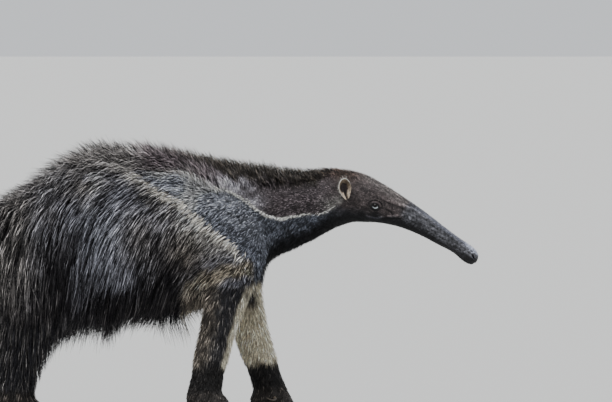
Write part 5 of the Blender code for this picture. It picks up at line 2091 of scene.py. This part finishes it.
    def unwrapped(self, piece: CoatPiece, roots: Array) -> Array:
        """Places of the roots on an unwrap of the skin: along the spine or the leg, and round it.

        Args:
            piece: What grows.
            roots: Places of the roots.

        Returns:
            Places on the unit square, n by 2.
        """
        x, y, z = roots.T
        if "leg" in piece.name:
            line = FORELEG if "foreleg" in piece.name else HINDLEG
            flat = np.stack([z, np.arctan2(x - line.middle(roots), np.abs(y) - LEG_Y)], axis=1)
        else:
            flat = np.stack([x, np.arctan2(y, z - np.interp(x, MIDDLE_X, MIDDLE_Z))], axis=1)
        low, high = flat.min(axis=0), flat.max(axis=0)
        return 0.002 + (flat - low) / (high - low) * (0.996 - PATCH)

    def mesh_of(self, piece: CoatPiece, tufts: Tufts) -> bpy.types.Object:
        """The joined mesh of a piece's tufts: closed three-sided locks that taper to a tip.

        Args:
            piece: What they are.
            tufts: Their paths and colours.

        Returns:
            The object, with its material, colours and unwrap.
        """
        count, rings = len(tufts.paths), piece.rings
        steps = np.linspace(0.0, 1.0, rings + 1)
        profile = np.interp(steps[:-1], (0.0, 0.25, 0.6, 1.0), (0.85, 1.0, 0.85, 0.10))
        centre = tufts.paths[:, :-1]
        along = unit(np.gradient(tufts.paths, axis=1)[:, :-1])
        across = tufts.across[:, None, :]
        across = unit(across - along * np.sum(across * along, axis=2, keepdims=True))
        out = np.cross(across, along)
        half = 0.5 * tufts.widths[:, None, None] * profile[None, :, None]
        thick = half * 2 * tufts.thickness
        low = out * thick * 0.4
        rows = [centre - across * half - low, centre + across * half - low, centre + out * thick * 0.6]
        rows = np.stack(rows, axis=2).reshape(count, rings * 3, 3)
        points = np.concatenate([rows, tufts.paths[:, -1:, :]], axis=1)
        per = rings * 3 + 1
        edges = np.tile(tufts.edges, (1, rings))[:, :, None]
        ring_colours = np.repeat(tufts.colours[:, :-1], 3, axis=1) * edges
        colours = np.concatenate([ring_colours, tufts.colours[:, -1:]], axis=1)

        quads, quad_uv, tris, tri_uv = [], [], [], []
        for k in range(rings - 1):
            for i in range(3):
                j = (i + 1) % 3
                quads.append((3 * k + i, 3 * k + j, 3 * k + 3 + j, 3 * k + 3 + i))
                quad_uv.append(((i, k), (i + 1, k), (i + 1, k + 1), (i, k + 1)))
        for i in range(3):
            j = (i + 1) % 3
            tris.append((3 * (rings - 1) + i, 3 * (rings - 1) + j, per - 1))
            tri_uv.append(((i, rings - 1), (i + 1, rings - 1), (i + 0.5, rings)))
        tris.append((2, 1, 0))
        tri_uv.append(((0.0, 0.0), (0.3, 0.0), (0.15, 0.3)))
        base = (np.arange(count) * per)[:, None, None]
        quad_loops = (np.array(quads)[None] + base).reshape(count, -1)
        tri_loops = (np.array(tris)[None] + base).reshape(count, -1)
        loops = np.concatenate([quad_loops, tri_loops], axis=1).ravel()
        sizes = np.tile(np.array([4] * len(quads) + [3] * len(tris)), count)
        own_uv = [np.array(corners, float).reshape(-1, 2) for corners in (quad_uv, tri_uv)]
        own_uv = np.concatenate(own_uv) * np.array([PATCH / 3, PATCH / rings])
        uv = (tufts.unwrap[:, None, :] + own_uv[None]).reshape(-1, 2)

        mesh = bpy.data.meshes.new(piece.name)
        mesh.vertices.add(count * per)
        mesh.vertices.foreach_set("co", points.astype(np.float32).ravel())
        mesh.loops.add(len(loops))
        mesh.loops.foreach_set("vertex_index", loops.astype(np.int32))
        mesh.polygons.add(len(sizes))
        starts = np.concatenate([[0], np.cumsum(sizes)[:-1]])
        mesh.polygons.foreach_set("loop_start", starts.astype(np.int32))
        mesh.polygons.foreach_set("use_smooth", np.ones(len(sizes), bool))
        layer = mesh.uv_layers.new(name=BAKE_MAP)
        layer.data.foreach_set("uv", uv.astype(np.float32).ravel())
        mesh.update(calc_edges=True)
        mesh.validate()
        give_colours(mesh, colours.reshape(-1, 3))
        mesh.materials.append(self.finishes[piece.growth])
        obj = bpy.data.objects.new(piece.name, mesh)
        bpy.context.scene.collection.objects.link(obj)
        return obj


# ---------------------------------------------------------------------------------------------------------
# Eyes and claws


@dataclass
class Eyes:
    """Two wet eyeballs with iris, pupil and a painted glint: a pale bluish sliver under the iris for the
    sky's reflection.
    """

    iris: float = 0.0054
    pupil: float = 0.0026
    bulge: float = 0.0007  # of the cornea
    pupil_colour: tuple = (0.002, 0.002, 0.002)
    iris_colour: tuple = (0.006, 0.004, 0.004)
    # pale bluish sliver under the iris: a painted reflection of the sky
    white_colour: tuple = (0.80, 0.88, 0.92)

    def make(self, finish: bpy.types.Material) -> list[bpy.types.Object]:
        """Builds both eyes.

        Args:
            finish: The wet eye's material.

        Returns:
            The eyes.
        """
        return [self.one(side, finish) for side in Side]

    def one(self, side: Side, finish: bpy.types.Material) -> bpy.types.Object:
        """Builds one eye.

        Args:
            side: Which side.
            finish: Its material.

        Returns:
            The eye.
        """
        sizes = {"segments": 48, "ring_count": 32, "radius": EYE.radius}
        sizes |= {"location": tuple(EYE.centre(side)), "rotation": (math.radians(90), 0.0, 0.0)}
        eye = primitive(bpy.ops.mesh.primitive_uv_sphere_add, "eyeball_" + side.word, **sizes)
        points = points_of(eye)
        forward, upward, outward = EYE.local(points, side)
        gaze = np.hypot(forward + 0.0007, upward - 0.0013)
        swell = self.bulge * np.exp(-((gaze / self.iris) ** 2) * 1.2) * (outward > 0)
        points[:, 1] += side.value * swell
        place_points(eye, points)
        # Painted reflection: the eye starts pale bluish, which stays only as the glint under the iris.
        colours = plain(self.white_colour, len(points))
        colours = laid(colours, self.iris_colour, smoothstep(self.iris, self.iris * 0.88, gaze))
        colours = laid(colours, self.pupil_colour, smoothstep(self.pupil, self.pupil * 0.8, gaze))
        # Above the glint the eye is near black, so the painted reflection stays a sliver.
        upper = smoothstep(-0.0026, -0.0008, upward - 0.25 * forward)
        upper = upper * smoothstep(self.iris * 0.8, self.iris, gaze)
        colours = laid(colours, tuple(0.5 * level for level in self.iris_colour), upper)
        colours[outward <= 0] = self.iris_colour
        give_colours(eye.data, colours)
        eye.data.materials.append(finish)
        bpy.ops.object.shade_smooth()
        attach(eye, BODY)
        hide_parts("eye_" + side.name.lower())
        LOG.info("%s: %d faces", eye.name, len(eye.data.polygons))
        return eye


@dataclass
class Claws:
    """The claws of each foot as one piece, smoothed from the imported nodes."""

    feet: tuple = (("fore", 4), ("hind", 5))

    def make(self, finish: bpy.types.Material) -> list[bpy.types.Object]:
        """Builds the claws of the four feet.

        Args:
            finish: The horn's material.

        Returns:
            One object for each foot.
        """
        made = []
        for kind, count in self.feet:
            for side in Side:
                nodes = [f"claw_{kind}_{side.word}_{i + 1}" for i in range(count)]
                claws = copies(nodes, f"claws_{kind}_{side.word}")
                modified(claws, "SUBSURF", levels=2, render_levels=2)
                claws.data.materials.append(finish)
                bpy.ops.object.shade_smooth()
                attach(claws, BODY)
                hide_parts(*nodes)
                LOG.info("%s: %d faces", claws.name, len(claws.data.polygons))
                made.append(claws)
        return made


# ---------------------------------------------------------------------------------------------------------
# Studio


@dataclass
class Studio:
    """Pale floor, soft light and the camera."""

    floor_size: float = 4000.0
    aim: tuple = (0.600, 0.0, 0.4656)
    stand: tuple = (0.600, -12.0, 0.7666)
    lens: float = 344.0
    sensor: float = 36.0
    sky: tuple = (0.88, 0.91, 0.95, 1.0)
    sky_strength: float = 0.86
    lights: tuple = (  # name, strength, turn about X and Y, spread
        ("key", 3.6, math.radians(24.0), math.radians(-12.0), math.radians(35.0)),
        ("fill", 1.1, math.radians(-52.0), math.radians(10.0), math.radians(40.0)),
    )

    def make(self) -> None:
        """Builds floor, world, lights and camera."""
        floor = primitive(bpy.ops.mesh.primitive_plane_add, "floor", size=self.floor_size)
        floor.data.materials.append(FloorFinish().make())

        world = bpy.data.worlds.new("studio")
        world.use_nodes = True
        background = world.node_tree.nodes["Background"]
        background.inputs["Color"].default_value = self.sky
        background.inputs["Strength"].default_value = self.sky_strength
        bpy.context.scene.world = world

        for name, strength, turn_x, turn_y, spread in self.lights:
            light = bpy.data.lights.new(name, "SUN")
            light.energy = strength
            light.angle = spread
            light_obj = bpy.data.objects.new(name, light)
            light_obj.rotation_euler = (turn_x, turn_y, 0.0)
            bpy.context.scene.collection.objects.link(light_obj)

        camera = bpy.data.cameras.new("camera")
        camera.lens = self.lens
        camera.sensor_width = self.sensor
        camera.clip_end = 5000.0
        obj = bpy.data.objects.new("camera", camera)
        obj.location = self.stand
        obj.rotation_mode = "QUATERNION"
        obj.rotation_quaternion = (Vector(self.aim) - Vector(self.stand)).to_track_quat("-Z", "Y")
        bpy.context.scene.collection.objects.link(obj)
        bpy.context.scene.camera = obj


def main() -> None:
    """Builds the skin, the coat, the eyes, the claws and the studio in order."""
    logging.basicConfig(level=logging.INFO, format="%(name)s: %(message)s")
    coat_map, markings = CoatMap(), Markings()
    Studio().make()
    skin = Skin(coat_map, markings).make()
    skin.data.materials.append(SkinFinish().make())
    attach(skin, BODY)
    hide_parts("ear_left", "ear_right", "tail", *Skin.body_nodes)
    LOG.info("skin: %d faces", len(skin.data.polygons))
    Eyes().make(EyeFinish().make())
    Claws().make(HornFinish().make())
    short_hair = HairFinish().make()
    long_hair = HairFinish("long_hair", bands=(0.9, 8.0), band_contrast=(0.45, 1.55)).make()
    finishes = {SHORT: short_hair, CREST: short_hair, LONG: long_hair}
    Coat(Ground(skin), coat_map, markings, finishes).make()


if __name__ == "__main__":
    main()
